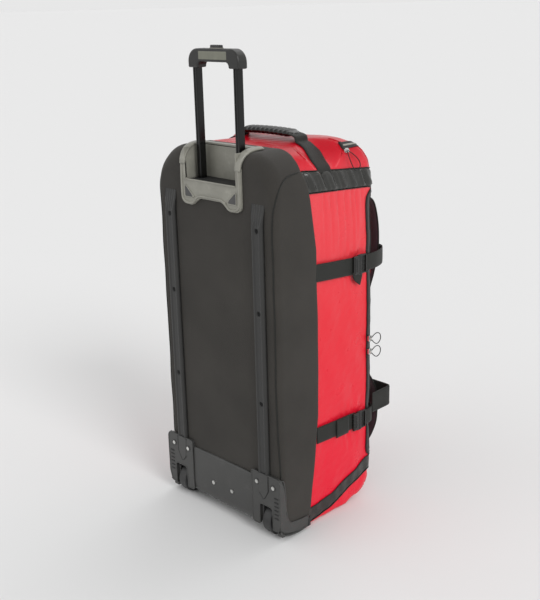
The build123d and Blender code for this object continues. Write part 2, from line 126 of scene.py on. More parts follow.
def make_cord(name, route, body, node):
    """A thin cord loop as one NURBS curve through its route's control points."""
    curve = bpy.data.curves.new(name, "CURVE")
    curve.dimensions = "3D"
    curve.bevel_depth = 0.5
    curve.bevel_resolution = 3
    curve.use_fill_caps = True
    spline = curve.splines.new("NURBS")
    points = world(route)
    spline.points.add(len(points) - 1)
    for point, place in zip(spline.points, points):
        point.co = (*place, 1.0)
        point.radius = CORD_DIAMETER
    spline.order_u = 3
    spline.use_endpoint_u = True
    spline.resolution_u = 10
    cord = bpy.data.objects.new(name, curve)
    bpy.context.scene.collection.objects.link(cord)
    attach(cord, body)
    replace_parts(cord, node)
    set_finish(cord, "cord")
    return cord


cords = [make_cord("end_zip_cord", END_CORD_ROUTE, "end_slider", "end_pull_cord")]
for level, slider_height in (("upper", 392.0), ("lower", 361.0)):
    cords.append(make_cord(f"main_zip_cord_{level}", main_cord_route(slider_height),
                           f"main_slider_{level}", f"main_pull_cord_{level}"))


# ---- Materials -----------------------------------------------------------------------------------

class Tree:
    """Adds nodes to the node tree of a material or the world."""

    def __init__(self, owner):
        owner.use_nodes = True
        self.nodes, self.links = owner.node_tree.nodes, owner.node_tree.links

    def coordinates(self, kind):
        """Texture coordinates: Object (metres in the frame), UV (metres along a strap) or Generated."""
        return self.nodes.new("ShaderNodeTexCoord").outputs[kind]

    def height(self, coords):
        """The Z part of some coordinates."""
        node = self.nodes.new("ShaderNodeSeparateXYZ")
        self.links.new(coords, node.inputs[0])
        return node.outputs["Z"]

    def noise(self, coords, scale, detail=3.0, rough=0.5):
        """A noise texture on the given coordinates."""
        node = self.nodes.new("ShaderNodeTexNoise")
        node.inputs["Scale"].default_value = scale
        node.inputs["Detail"].default_value = detail
        node.inputs["Roughness"].default_value = rough
        self.links.new(coords, node.inputs["Vector"])
        return node.outputs["Fac"]

    def wave(self, coords, scale, direction, distortion=0.0):
        """A sine wave along one axis of the given coordinates."""
        node = self.nodes.new("ShaderNodeTexWave")
        node.bands_direction = direction
        node.inputs["Scale"].default_value = scale
        node.inputs["Distortion"].default_value = distortion
        self.links.new(coords, node.inputs["Vector"])
        return node.outputs["Fac"]

    def math(self, operation, a, b):
        """a operation b, where each is a socket or a number."""
        node = self.nodes.new("ShaderNodeMath")
        node.operation = operation
        for socket, value in zip(node.inputs, (a, b)):
            if isinstance(value, (int, float)):
                socket.default_value = value
            else:
                self.links.new(value, socket)
        return node.outputs[0]

    def ramp(self, factor, *stops):
        """A colour ramp through (position, colour) stops."""
        node = self.nodes.new("ShaderNodeValToRGB")
        while len(node.color_ramp.elements) < len(stops):
            node.color_ramp.elements.new(0.5)
        for element, (position, color) in zip(node.color_ramp.elements, stops):
            element.position = position
            element.color = (*color, 1.0)
        self.links.new(factor, node.inputs["Fac"])
        return node.outputs["Color"]


class Surface(Tree):
    """A principled material, and what is linked into its shader."""

    def __init__(self, name, color, roughness, metallic=0.0, coat=0.0, sheen=0.0, gloss=0.5):
        self.material = bpy.data.materials.new(name)
        super().__init__(self.material)
        self.roughness = roughness
        self.inputs = self.nodes["Principled BSDF"].inputs
        self.inputs["Base Color"].default_value = (*color, 1.0)
        self.inputs["Roughness"].default_value = roughness
        self.inputs["Metallic"].default_value = metallic
        self.inputs["Coat Weight"].default_value = coat
        self.inputs["Coat Roughness"].default_value = 0.25
        self.inputs["Sheen Weight"].default_value = sheen
        self.inputs["Specular IOR Level"].default_value = gloss

    def vary_color(self, factor, *stops):
        """The colour follows a ramp."""
        self.links.new(self.ramp(factor, *stops), self.inputs["Base Color"])

    def vary_roughness(self, factor, share, below):
        """The roughness wanders up from a little below its plain value."""
        part = self.math("MULTIPLY", factor, share)
        self.links.new(self.math("ADD", part, self.roughness - below), self.inputs["Roughness"])

    def bump(self, *layers):
        """Stacks bump layers of (height socket, strength, distance in metres)."""
        previous = None
        for height, strength, distance in layers:
            node = self.nodes.new("ShaderNodeBump")
            node.inputs["Strength"].default_value = strength
            node.inputs["Distance"].default_value = distance
            self.links.new(height, node.inputs["Height"])
            if previous is not None:
                self.links.new(previous, node.inputs["Normal"])
            previous = node.outputs["Normal"]
        self.links.new(previous, self.inputs["Normal"])


def shade(color, factor):
    """A colour made lighter or darker."""
    return tuple(min(channel * factor, 1.0) for channel in color)


def tarp_material(name, stops, roughness, coat, gloss, spread):
    """Coated tarpaulin: a fine square weave under a soft film, its colour ramped by height, which on the red
    is painted light and shade.
    """
    surface = Surface(name, stops[0][1], roughness, coat=coat, gloss=gloss)
    coords = surface.coordinates("Object")
    # The colour follows height, broken up by broad noise; on the red this paints light and shade.
    broad = surface.math("MULTIPLY", surface.noise(coords, 9.0, 4.0, 0.55), 2 * spread)
    level = surface.math("ADD", surface.height(coords), -spread)
    surface.vary_color(surface.math("ADD", level, broad), *stops)
    surface.vary_roughness(surface.noise(coords, 22.0), 0.22, 0.11)
    across = surface.wave(coords, 300.0, "DIAGONAL")
    weave = surface.math("MULTIPLY", across, surface.wave(coords, 300.0, "Z"))
    creases = surface.noise(coords, 26.0, 6.0, 0.6)
    surface.bump((creases, 0.42, 0.005), (weave, 0.25, 0.0003))
    return surface.material


def fabric_material(name, color, weave_scale=420.0, sheen=0.15, depth=0.0004):
    """Plain woven polyester: two crossing thread directions and slight fading."""
    surface = Surface(name, color, 0.82, sheen=sheen, gloss=0.3)
    coords = surface.coordinates("Object")
    fade = surface.noise(coords, 6.0, 5.0, 0.6)
    speckle = surface.noise(coords, 900.0, 2.0, 0.7)
    mixed = surface.math("ADD", surface.math("MULTIPLY", fade, 0.6), surface.math("MULTIPLY", speckle, 0.4))
    surface.vary_color(mixed, (0.32, shade(color, 0.72)), (0.68, shade(color, 1.28)))
    across = surface.wave(coords, weave_scale, "DIAGONAL")
    weave = surface.math("ADD", across, surface.wave(coords, weave_scale, "Z"))
    surface.bump((fade, 0.15, 0.003), (speckle, 0.2, 0.0006), (weave, 0.3, depth))
    return surface.material


def webbing_material(name, color):
    """Woven webbing, ribbed along its length with a slightly wavy cross thread."""
    surface = Surface(name, color, 0.62, sheen=0.06, gloss=0.35)
    coords = surface.coordinates("UV")
    ribs = surface.wave(coords, 160.0, "X")
    weave = surface.math("MULTIPLY", ribs, surface.wave(coords, 230.0, "Y", 1.5))
    surface.vary_color(weave, (0.1, shade(color, 0.6)), (0.9, shade(color, 1.6)))
    surface.bump((weave, 0.6, 0.0006))
    return surface.material


def plastic_material(name, color, roughness=0.5, grain=0.25, coat=0.0, gloss=0.5):
    """Moulded plastic with a fine spark-eroded grain and rubbed, lighter patches."""
    surface = Surface(name, color, roughness, coat=coat, gloss=gloss)
    coords = surface.coordinates("Object")
    wear = surface.noise(coords, 35.0, 6.0, 0.65)
    surface.vary_color(wear, (0.35, shade(color, 0.86)), (0.6, color), (0.75, shade(color, 1.3)))
    surface.vary_roughness(wear, 0.25, 0.12)
    fine = surface.noise(coords, 1400.0, 2.0, 0.6)
    surface.bump((wear, 0.08, 0.001), (fine, grain, 0.0003))
    return surface.material


def metal_material(name, color, roughness):
    """Drawn or anodised metal with fine streaks and smudges."""
    surface = Surface(name, color, roughness, metallic=1.0)
    coords = surface.coordinates("Object")
    smudge = surface.noise(coords, 45.0, 4.0)
    surface.vary_color(smudge, (0.3, shade(color, 0.85)), (0.7, shade(color, 1.15)))
    surface.vary_roughness(smudge, 0.2, 0.1)
    surface.bump((surface.wave(coords, 900.0, "X", 6.0), 0.06, 0.0001))
    return surface.material


def rubber_material(name, color, roughness=0.6):
    """Soft rubber with a dusty bloom."""
    surface = Surface(name, color, roughness)
    coords = surface.coordinates("Object")
    dust = surface.noise(coords, 60.0, 5.0, 0.7)
    surface.vary_color(dust, (0.35, color), (0.8, shade(color, 2.2)))
    surface.bump((surface.noise(coords, 800.0, 2.0), 0.3, 0.0004))
    return surface.material


# Tones of the coated fabrics, by height in metres. The red's stops are painted light and shade: paler and
# pinker high on the sides, a deeper, darker red on the end panel's dome and low down. The black is a little
# darker towards the bottom.
RED_PAINTED_LIGHT_TONES = ((0.08, (0.72, 0.004, 0.026)), (0.45, (0.72, 0.020, 0.034)), (0.74, (0.75, 0.052, 0.066)),
             (0.785, (0.66, 0.024, 0.040)), (0.82, (0.50, 0.001, 0.012)))
BLACK_TONES = ((0.05, (0.008, 0.008, 0.006)), (0.80, (0.012, 0.012, 0.009)))

MATERIALS = {
    "base_fabric": fabric_material("base_fabric", (0.034, 0.031, 0.027), sheen=0.06),
    "red_tarp": tarp_material("red_tarp", RED_PAINTED_LIGHT_TONES, 0.30, 0.08, 0.3, 0.02),
    "black_tarp": tarp_material("black_tarp", BLACK_TONES, 0.26, 0.30, 0.5, 0.06),
    "webbing": webbing_material("webbing", (0.010, 0.011, 0.008)),
    "strap_pad": fabric_material("strap_pad", (0.030, 0.012, 0.018), 260.0, 0.3, 0.0008),
    "zip_tape": webbing_material("zip_tape", (0.020, 0.020, 0.020)),
    "cord": fabric_material("cord", (0.012, 0.012, 0.012), 900.0, 0.1),
    "moulding": plastic_material("moulding", (0.046, 0.046, 0.044), 0.42, 0.35),
    "bezel": plastic_material("bezel", (0.250, 0.245, 0.210), 0.36, 0.2),
    "grip": plastic_material("grip", (0.012, 0.012, 0.011), 0.38, 0.35),
    "grip_insert": plastic_material("grip_insert", (0.180, 0.182, 0.142), 0.45, 0.2),
    "button": plastic_material("button", (0.008, 0.008, 0.008), 0.25, 0.1, 0.3),
    "buckle": plastic_material("buckle", (0.006, 0.006, 0.005), 0.28, 0.15, 0.1),
    "rubber": rubber_material("rubber", (0.012, 0.012, 0.012)),
    "rail": plastic_material("rail", (0.019, 0.019, 0.018), 0.42, 0.35),
    "dark_screw": metal_material("dark_screw", (0.02, 0.02, 0.02), 0.4),
    "tyre": rubber_material("tyre", (0.014, 0.014, 0.014), 0.45),
    "hub": plastic_material("hub", (0.09, 0.09, 0.09), 0.45, 0.2),
    "tube": plastic_material("tube", (0.002, 0.002, 0.002), 0.22, 0.0, 0.15, 0.3),
    "guide": metal_material("guide", (0.45, 0.45, 0.46), 0.4),
    "steel": metal_material("steel", (0.62, 0.62, 0.60), 0.3),
    "board": plastic_material("board", (0.08, 0.08, 0.08), 0.6),
    "internal": plastic_material("internal", (0.06, 0.06, 0.06), 0.5),
}


def dress(obj, slot_name):
    """Gives an object the material of a record slot."""
    obj.data.materials.clear()
    obj.data.materials.append(MATERIALS[slot_name])


for part_entry in frame["record"]["subparts"]:
    node_object = frame["nodes"].get(part_entry["node"])
    if node_object is not None and part_entry["material_slot"] in MATERIALS:
        dress(node_object, part_entry["material_slot"])
for cord in cords:
    dress(cord, "cord")
dress(frame["nodes"]["rail_screws"], "dark_screw")


# ---- Mesh tools ----------------------------------------------------------------------------------

def make_object(name, points, faces, slot_name, nodes=(), body="bag", uvs=None):
    """A mesh piece from (x, depth, z) points; it rides on a body and may stand for CAD nodes."""
    mesh = bpy.data.meshes.new(name)
    mesh.from_pydata([tuple(p) for p in world(points)], [], [tuple(f) for f in faces])
    if uvs is not None:
        layer = mesh.uv_layers.new(name="UVMap")
        for loop in mesh.loops:
            layer.data[loop.index].uv = uvs[loop.vertex_index]
    mesh.update()
    obj = bpy.data.objects.new(name, mesh)
    bpy.context.scene.collection.objects.link(obj)
    build = bmesh.new()
    build.from_mesh(mesh)
    bmesh.ops.remove_doubles(build, verts=build.verts, dist=1e-6)
    bmesh.ops.recalc_face_normals(build, faces=build.faces)
    build.to_mesh(mesh)
    build.free()
    mesh.polygons.foreach_set("use_smooth", [True] * len(mesh.polygons))
    dress(obj, slot_name)
    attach(obj, body)
    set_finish(obj, slot_name)
    if nodes:
        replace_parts(obj, *nodes)
    return obj


def grid_faces(rows, columns, wrap_rows=False, wrap_columns=False):
    """Quads of a rows x columns grid of points."""
    faces = []
    for i in range(rows if wrap_rows else rows - 1):
        for j in range(columns if wrap_columns else columns - 1):
            i2, j2 = (i + 1) % rows, (j + 1) % columns
            faces.append((i * columns + j, i * columns + j2, i2 * columns + j2, i2 * columns + j))
    return faces


def smooth_line(points, step):
    """Points every step mm or so along a smooth curve through the given ones."""
    points = np.asarray(points, float)
    padded = np.vstack((2 * points[0] - points[1], points, 2 * points[-1] - points[-2]))
    line = []
    for i in range(1, len(padded) - 2):
        a, b, c, d = padded[i - 1:i + 3]
        count = max(int(np.linalg.norm(c - b) / step), 1)
        for k in range(count):
            t = k / count
            line.append(0.5 * (2 * b + (c - a) * t + (2 * a - 5 * b + 4 * c - d) * t ** 2
                               + (3 * b - a - 3 * c + d) * t ** 3))
    line.append(points[-1])
    return np.array(line)


def mirrored(half):
    """A line from the right side to the middle, carried on to the left side."""
    return np.vstack((half, (half * (-1, 1, 1))[::-1][1:]))


def round_angles(count):
    """Evenly spaced angles round a circle."""
    return np.linspace(0, 2 * np.pi, count, endpoint=False)


def unit(vectors):
    """Vectors scaled to length 1."""
    return vectors / np.maximum(np.linalg.norm(vectors, axis=-1, keepdims=True), 1e-9)


def headings(line):
    """The direction of travel at each point of a line."""
    return unit(np.gradient(line, axis=0))


def sideways(sign, count):
    """The same direction, straight out of the bag's side, for each of count points."""
    return np.tile((sign * 1.0, 0.0, 0.0), (count, 1))


def loft(name, rings, slot_name, nodes=(), body="bag", uvs=None, closed=False):
    """A skin over rings of points, capped at both ends unless it closes on itself."""
    rows, columns = rings.shape[:2]
    faces = grid_faces(rows, columns, wrap_rows=closed, wrap_columns=True)
    if not closed:
        faces.append(tuple(range(columns)))
        faces.append(tuple((rows - 1) * columns + j for j in range(columns)))
    return make_object(name, rings.reshape(-1, 3), faces, slot_name, nodes, body, uvs)


def band(name, line, normals, width, thickness, slot_name, nodes=(), crown=0.0, edge=0.35):
    """A flat strap along a line: thickness lies along the normals, width across them."""
    line, normals = np.asarray(line, float), unit(np.asarray(normals, float))
    across = unit(np.cross(headings(line), normals))
    widths = np.broadcast_to(np.asarray(width, float), (len(line),))
    top = [(s, 0.5 + crown * (1 - s * s) / thickness) for s in np.linspace(-0.75, 0.75, 7)]
    under = [(s, -0.5) for s in np.linspace(1, -1, 9)]
    section = np.array([(-1.0, 0.5 - edge), *top, (1.0, 0.5 - edge), *under])
    rings = (line[:, None, :] + across[:, None, :] * (section[None, :, 0:1] * widths[:, None, None] / 2)
             + normals[:, None, :] * (section[None, :, 1:2] * thickness))
    lengths = np.concatenate(([0], np.cumsum(np.linalg.norm(np.diff(line, axis=0), axis=1))))
    uvs = [(section[j, 0] * widths[i] / 2000.0, lengths[i] / 1000.0)
           for i in range(len(line)) for j in range(len(section))]
    return loft(name, rings, slot_name, nodes, uvs=uvs)


def tube(name, line, radius, slot_name, nodes=(), sides=10, closed=False, body="bag"):
    """A round bead along a line."""
    line = np.asarray(line, float)
    tangents = headings(line)
    if closed:
        tangents = unit(np.roll(line, -1, 0) - np.roll(line, 1, 0))
    helper = np.where(np.abs(tangents[:, 1:2]) > 0.9, (1.0, 0.0, 0.0), (0.0, 1.0, 0.0))
    side = unit(np.cross(tangents, helper))
    up = np.cross(side, tangents)
    angles = round_angles(sides)
    rings = (line[:, None, :] + radius * (np.cos(angles)[None, :, None] * side[:, None, :]
             + np.sin(angles)[None, :, None] * up[:, None, :]))
    return loft(name, rings, slot_name, nodes, body, closed=closed)


def bead(name, outline, depth, step, radius, slot_name, sides=8):
    """A round bead along (x, z) points at one depth."""
    tube(name, smooth_line([(x, depth, z) for x, z in outline], step), radius, slot_name, sides=sides)


def add_bevel(obj, width, segments=3, angle=35):
    """Rounds an object's sharp edges by this many mm."""
    modifier = obj.modifiers.new("bevel", "BEVEL")
    modifier.width = width / 1000.0
    modifier.segments = segments
    modifier.limit_method = "ANGLE"
    modifier.angle_limit = math.radians(angle)
    modifier.harden_normals = True


# ---- The bag's soft form -------------------------------------------------------------------------

# The seam between the tray and the red shell, as (height, depth).
SEAM = np.array(((0, 97), (110, 113), (260, 131), (410, 133), (631, 130), (738, 114), (796, 98),
                 (840, 106)), float)
# The red form seen from the side, as (depth, height), from the top of the back round to the foot.
PROFILE = ((60, 828), (106, 833), (184, 840), (235, 846), (268, 838), (298, 806), (314, 750),
           (322, 640), (322, 380), (322, 140), (314, 64), (284, 18), (228, 0))
RED_HALF = 178.0
RED_TOP = 862.0
SHOULDER = 79.0
FRONT_CORNER = 28.0
FRONT = 322.0
TRAY_HALF = 181.0
TRAY_BACK = 9.0
TRAY_LOW = 22.0
TRAY_TOP = 836.0
STRAP_LEVELS = {"upper": 574.0, "lower": 206.0}
SETTLE_ROUNDS = 14
CAST_ROUNDS = 28


def seam_depth(z):
    """Depth of the seam between the tray and the red shell at a height."""
    return np.interp(z, SEAM[:, 0], SEAM[:, 1])


def smooth_step(value, low, high):
    """0 below low, 1 above high, smooth between."""
    t = np.clip((value - low) / (high - low), 0.0, 1.0)
    return t * t * (3 - 2 * t)


def smooth_max(a, b, radius):
    """The larger of two distances, with the edge between them rounded."""
    h = np.clip(0.5 + 0.5 * (a - b) / radius, 0.0, 1.0)
    return b + (a - b) * h + radius * h * (1 - h)


def corner_distance(a, b, radius):
    """Distance to a quarter-plane a < 0, b < 0 with its corner rounded."""
    inside = np.minimum(np.maximum(a + radius, b + radius), 0.0)
    return inside + np.hypot(np.maximum(a + radius, 0), np.maximum(b + radius, 0)) - radius


def profile_table(step=3.0):
    """Signed distance to the side profile on a (depth, z) grid."""
    line = np.vstack((smooth_line([(d, 0, z) for d, z in PROFILE], 12.0)[:, (0, 2)], ((60, 0),)))
    depths, heights = np.arange(30, 380, step), np.arange(-60, 940, step)
    grid = np.stack(np.meshgrid(depths, heights, indexing="ij"), -1)
    best = np.full(grid.shape[:2], 1e9)
    inside = np.zeros(grid.shape[:2], bool)
    for start, end in zip(line, np.roll(line, -1, 0)):
        run = end - start
        t = np.clip(((grid - start) @ run) / (run @ run), 0, 1)
        best = np.minimum(best, np.linalg.norm(grid - start - t[..., None] * run, axis=-1))
        crosses = (start[1] > grid[..., 1]) != (end[1] > grid[..., 1])
        rise = end[1] - start[1] if abs(end[1] - start[1]) > 1e-9 else 1e-9
        cut = start[0] + (grid[..., 1] - start[1]) * run[0] / rise
        inside ^= crosses & (grid[..., 0] < cut)
    return depths, heights, np.where(inside, -best, best)


PROFILE_DEPTHS, PROFILE_HEIGHTS, PROFILE_DISTANCE = profile_table()


def look_up(depth, z):
    """The profile table's distance at each point."""
    step = PROFILE_DEPTHS[1] - PROFILE_DEPTHS[0]
    a = np.clip((depth - PROFILE_DEPTHS[0]) / step, 0, len(PROFILE_DEPTHS) - 1.001)
    b = np.clip((z - PROFILE_HEIGHTS[0]) / step, 0, len(PROFILE_HEIGHTS) - 1.001)
    i, j = a.astype(int), b.astype(int)
    u, v = a - i, b - j
    low = PROFILE_DISTANCE[i, j] * (1 - u) + PROFILE_DISTANCE[i + 1, j] * u
    high = PROFILE_DISTANCE[i, j + 1] * (1 - u) + PROFILE_DISTANCE[i + 1, j + 1] * u
    return low * (1 - v) + high * v


def ripple(a, b, wavelength, seed, count=5):
    """Irregular ripples over two coordinates, about 1 high."""
    random = np.random.default_rng(seed)
    total = np.zeros_like(a)
    for k in range(count):
        angle = random.uniform(0, 2 * np.pi)
        stretch = random.uniform(0.6, 1.6)
        phase = random.uniform(0, 2 * np.pi)
        wave_number = 2 * np.pi / (wavelength * stretch)
        total += np.sin(wave_number * (np.cos(angle) * a + np.sin(angle) * b) + phase)
    return total / count ** 0.5


def band_low(depth):
    """Lower edge of the upper black band at a depth."""
    return 753.0 - (depth - 60.0) * 22.0 / 340.0


def band_high(depth):
    """Upper edge of the upper black band at a depth."""
    return 800.0 - (depth - 60.0) * 30.0 / 340.0


def fullness(x, depth, z):
    """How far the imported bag's fabric stands out of the plain form: bulges, gathers and tucks."""
    side = smooth_step(np.abs(x), 120, 165)
    across = smooth_step(depth, 132, 190) * (1 - smooth_step(depth, 250, 306))
    below = band_low(depth) - z
    bulge = np.zeros_like(x)
    for low, high, height in ((226, 554, 3.5), (592, 745, 3.0), (60, 188, 3.0)):
        t = np.clip((z - low) / (high - low), 0, 1)
        bulge += height * np.sin(np.pi * t) ** 0.8 * across
    gather_shape = np.sin(2 * np.pi * depth / 19.0 + 1.7 * np.sin(depth / 21.0) + 0.01 * z)
    gather_shape += 0.7 * np.sin(2 * np.pi * depth / 11.0 + 0.8 + 0.02 * z)
    reach = np.exp(-np.maximum(below, 0) / 48.0) * smooth_step(below, -2, 14)
    gathers = 3.4 * gather_shape * reach * smooth_step(depth, 140, 170)
    gathers *= 1 - smooth_step(depth, 270, 288)
    tucks = np.zeros_like(x)
    for middle in STRAP_LEVELS.values():
        away = np.abs(z - middle) - 18.0
        near = np.exp(-np.maximum(away, 0) / 22.0)
        folds = np.sin(2 * np.pi * depth / 23.0 + 0.9 * np.sin(depth / 17.0) + 0.02 * z)
        tucks += 1.7 * folds * near * smooth_step(depth, 190, 235) * smooth_step(away, -2, 6)
        tucks -= 1.2 * np.exp(-(np.maximum(away, 0) / 10.0) ** 2)
    soft = 0.7 * ripple(depth, z, 90.0, 3) + 0.25 * ripple(depth, z, 34.0, 5)
    side_part = side * (bulge + gathers + tucks + soft)
    top = smooth_step(z, 800, 835)
    top_part = top * (1.3 * ripple(x, depth, 120.0, 11) + 0.25 * ripple(x, depth, 42.0, 12))
    front = smooth_step(depth, 300, 318) * (1 - side)
    front_part = front * (2.5 * np.cos(np.pi * x / 380.0) + 1.0 * ripple(x, z, 110.0, 21)
                          + 0.3 * ripple(x, z, 38.0, 22))
    return side_part * (1 - 0.7 * top) + top_part + front_part


def red_distance(points):
    """Distance from the red shell's outer surface."""
    x, depth, z = points[..., 0], points[..., 1], points[..., 2]
    profile = look_up(depth, z)
    pressed = smooth_step(depth, 100, 150) * (1 - smooth_step(depth, 192, 232))
    top = TRAY_TOP - 1 + (RED_TOP - TRAY_TOP + 1) * smooth_step(depth, 92, 175)
    outline = corner_distance(np.abs(x) - RED_HALF, z - top, SHOULDER)
    slope = 0.52 * (np.abs(x) - 76) + 0.854 * (z - 852) - 34 * (1 - pressed)
    outline = smooth_max(outline, slope, 12.0)
    plan = corner_distance(np.abs(x) - RED_HALF, depth - FRONT, FRONT_CORNER)
    body = smooth_max(smooth_max(profile, outline, 14.0), plan, 8.0)
    hidden = 6.0 * (1 - smooth_step(depth - seam_depth(z), -12, 1))
    return body + hidden - fullness(x, depth, z)


def tray_distance(points):
    """Distance from the black tray's outer surface."""
    x, depth, z = points[..., 0], points[..., 1], points[..., 2]
    top = corner_distance(np.abs(x) - TRAY_HALF, z - TRAY_TOP, 80.0)
    bottom = corner_distance(np.abs(x) - TRAY_HALF, TRAY_LOW - z, 8.0)
    outline = np.maximum(top, bottom)
    radius = 16.0 + 16.0 * smooth_step(z, 740, 815)
    body = np.maximum(corner_distance(outline, TRAY_BACK - depth, radius), outline)
    to_seam = seam_depth(z) - depth
    tuck = 3.6 * (1 - smooth_step(to_seam, -2, 16)) ** 2
    full = 1.6 * np.sin(np.pi * np.clip(to_seam / 110.0, 0, 1)) * smooth_step(np.abs(x), 150, 178)
    soft = 0.5 * ripple(x + depth, z, 130.0, 31)
    back = 0.35 * ripple(x, z, 170.0, 33) * (1 - smooth_step(np.abs(x), 90, 112))
    return body + tuck - full - soft * smooth_step(np.abs(x), 150, 180) - back


def gradient(distance, points):
    """Outward direction of a form at each point."""
    step = 0.6
    parts = []
    for axis in range(3):
        offset = np.zeros(3)
        offset[axis] = step
        parts.append((distance(points + offset) - distance(points - offset)) / (2 * step))
    return unit(np.stack(parts, -1))


def settle(distance, points, free):
    """Moves points onto a form's surface along its normals. free scales their motion per axis."""
    points = points.copy()
    for _ in range(SETTLE_ROUNDS):
        move = -distance(points)[..., None] * gradient(distance, points) * free
        points += np.clip(move, -30, 30) * 0.9
    return points


def cast(distance, starts, directions, offset=0.0):
    """Where rays meet a form's surface, standing off by an offset."""
    points, directions = np.array(starts, float), unit(np.asarray(directions, float))
    for _ in range(CAST_ROUNDS):
        points += directions * ((distance(points) - offset) * 0.85)[..., None]
    return points


def box_grid(nx, ny, nz, open_side):
    """Points and quads on a unit box's faces, less the back (open_side 0) or front (1) face."""
    index, points, faces = {}, [], []

    def vertex(i, j, k):
        key = (i, j, k)
        if key not in index:
            index[key] = len(points)
            points.append((2 * i / nx - 1, j / ny, k / nz))
        return index[key]

    for j in range(ny):
        for k in range(nz):
            for i in (0, nx):
                faces.append((vertex(i, j, k), vertex(i, j + 1, k), vertex(i, j + 1, k + 1),
                              vertex(i, j, k + 1)))
    for i in range(nx):
        for j in range(ny):
            for k in (0, nz):
                faces.append((vertex(i, j, k), vertex(i + 1, j, k), vertex(i + 1, j + 1, k),
                              vertex(i, j + 1, k)))
        for k in range(nz):
            j = ny if open_side == 0 else 0
            faces.append((vertex(i, j, k), vertex(i + 1, j, k), vertex(i + 1, j, k + 1),
                          vertex(i, j, k + 1)))
    return np.array(points), faces


def keep_faces(points, faces, test):
    """The faces whose middles pass a test, with only the points that they use."""
    faces = np.array(faces)
    kept = faces[test(points[faces].mean(axis=1))]
    used, renumbered = np.unique(kept, return_inverse=True)
    return points[used], renumbered.reshape(kept.shape).tolist()


def add_thickness(obj, thickness):
    """Gives a fabric sheet its thickness, inwards."""
    modifier = obj.modifiers.new("thickness", "SOLIDIFY")
    modifier.thickness = thickness / 1000.0
    modifier.offset = -1.0


GRID = 1.0
LID_DEPTH = 300.0
LID_LOW = 102.0
LID_HIGH = 727.0
TUCKED_IN = 14.0


def make_red_fabric():
    """The red shell and the lid, cut from one full form along the zip."""
    unit_points, faces = box_grid(int(100 * GRID), int(64 * GRID), int(236 * GRID), 0)
    s, t, u = unit_points.T
    z = u * 856.0
    rear = seam_depth(z)
    start = np.stack((s * 176.0, rear - TUCKED_IN * (1 - t) ** 2 + t * (FRONT - rear), z), -1)
    free = np.ones_like(start)
    free[:, 1] = smooth_step(t, 0.0, 0.3)
    points = settle(red_distance, start, free)
    edge = (1 - smooth_step(t, 0.0, 0.12))
    points[:, 1] += edge * (seam_depth(points[:, 2]) - TUCKED_IN - points[:, 1])

    def in_lid(middle):
        return (middle[:, 1] > LID_DEPTH) & (middle[:, 2] > LID_LOW) & (middle[:, 2] < LID_HIGH)

    shell = make_object("red_shell_fabric", *keep_faces(points, faces, lambda m: ~in_lid(m)),
                        "red_tarp", ("red_shell",))
    lid = make_object("lid_fabric", *keep_faces(points, faces, in_lid), "red_tarp",
                      ("lid_panel",))
    for piece in (shell, lid):
        add_thickness(piece, 1.6)


def make_tray_fabric():
    """The black padded tray, open where the trolley pocket and the wheel wells go in."""
    unit_points, faces = box_grid(int(110 * GRID), int(36 * GRID), int(230 * GRID), 1)
    s, t, u = unit_points.T
    z = TRAY_LOW + u * (TRAY_TOP - TRAY_LOW)
    front = seam_depth(z)
    start = np.stack((s * (TRAY_HALF - 4), TRAY_BACK + t * (front - TRAY_BACK), z), -1)
    free = np.ones_like(start)
    free[:, 1] = 1 - smooth_step(t, 0.8, 1.0)
    points = settle(tray_distance, start, free)
    edge = smooth_step(t, 0.7, 1.0)
    points[:, 1] += edge * (seam_depth(points[:, 2]) - points[:, 1])

    def outside_cuts(middle):
        x, depth, height = np.abs(middle[:, 0]), middle[:, 1], middle[:, 2]
        pocket = (x < 79.0) & (depth < 59.0) & (height > 769.0)
        well = (x > 127.0) & (x < 159.0) & (depth < 76.0) & (height < 76.0)
        return ~(pocket | well)

    tray = make_object("tray_fabric", *keep_faces(points, faces, outside_cuts), "base_fabric",
                       ("base_tray",))
    add_thickness(tray, 2.5)


def make_tray_piping():
    """Piped seams of the tray: up each back corner and over the side panel's rounded top."""
    route = ((14, 150), (11, 300), (11, 500), (11, 690), (14, 742), (27, 774), (52, 791), (96, 797))
    for name, sign in SIDES:
        line = smooth_line([(sign * 215, depth, z) for depth, z in route], 6.0)
        seam = cast(tray_distance, line, sideways(-sign, len(line)), 0.3)
        tube(f"tray_piping_{name}", seam, 1.6, "webbing")


make_red_fabric()
make_tray_fabric()
make_tray_piping()


# ---- Bands, binding and zips on the form ---------------------------------------------------------

RAY_X = 260.0
RAY_DEPTH = 400.0
RAY_REACH = 110.0


def corner_ray(angle):
    """A ray onto the right front corner, as (x, depth, inward x, inward depth)."""
    return (RED_HALF - FRONT_CORNER + RAY_REACH * math.cos(angle),
            FRONT - FRONT_CORNER + RAY_REACH * math.sin(angle), -math.cos(angle), -math.sin(angle))


def around_front(side_depths, front_steps):
    """Rays inward along a U round the front: one side, its corner, the front, and back again."""
    right = [(RAY_X, depth, -1.0, 0.0) for depth in side_depths]
    right += [corner_ray(angle) for angle in np.linspace(0, np.pi / 2, 9)[1:-1]]
    front_x = np.linspace(RED_HALF - FRONT_CORNER, FRONT_CORNER - RED_HALF, front_steps)
    front = [(x, RAY_DEPTH, 0.0, -1.0) for x in front_x]
    left = [(-x, depth, -dx, dd) for x, depth, dx, dd in reversed(right)]
    return np.array(right + front + left)


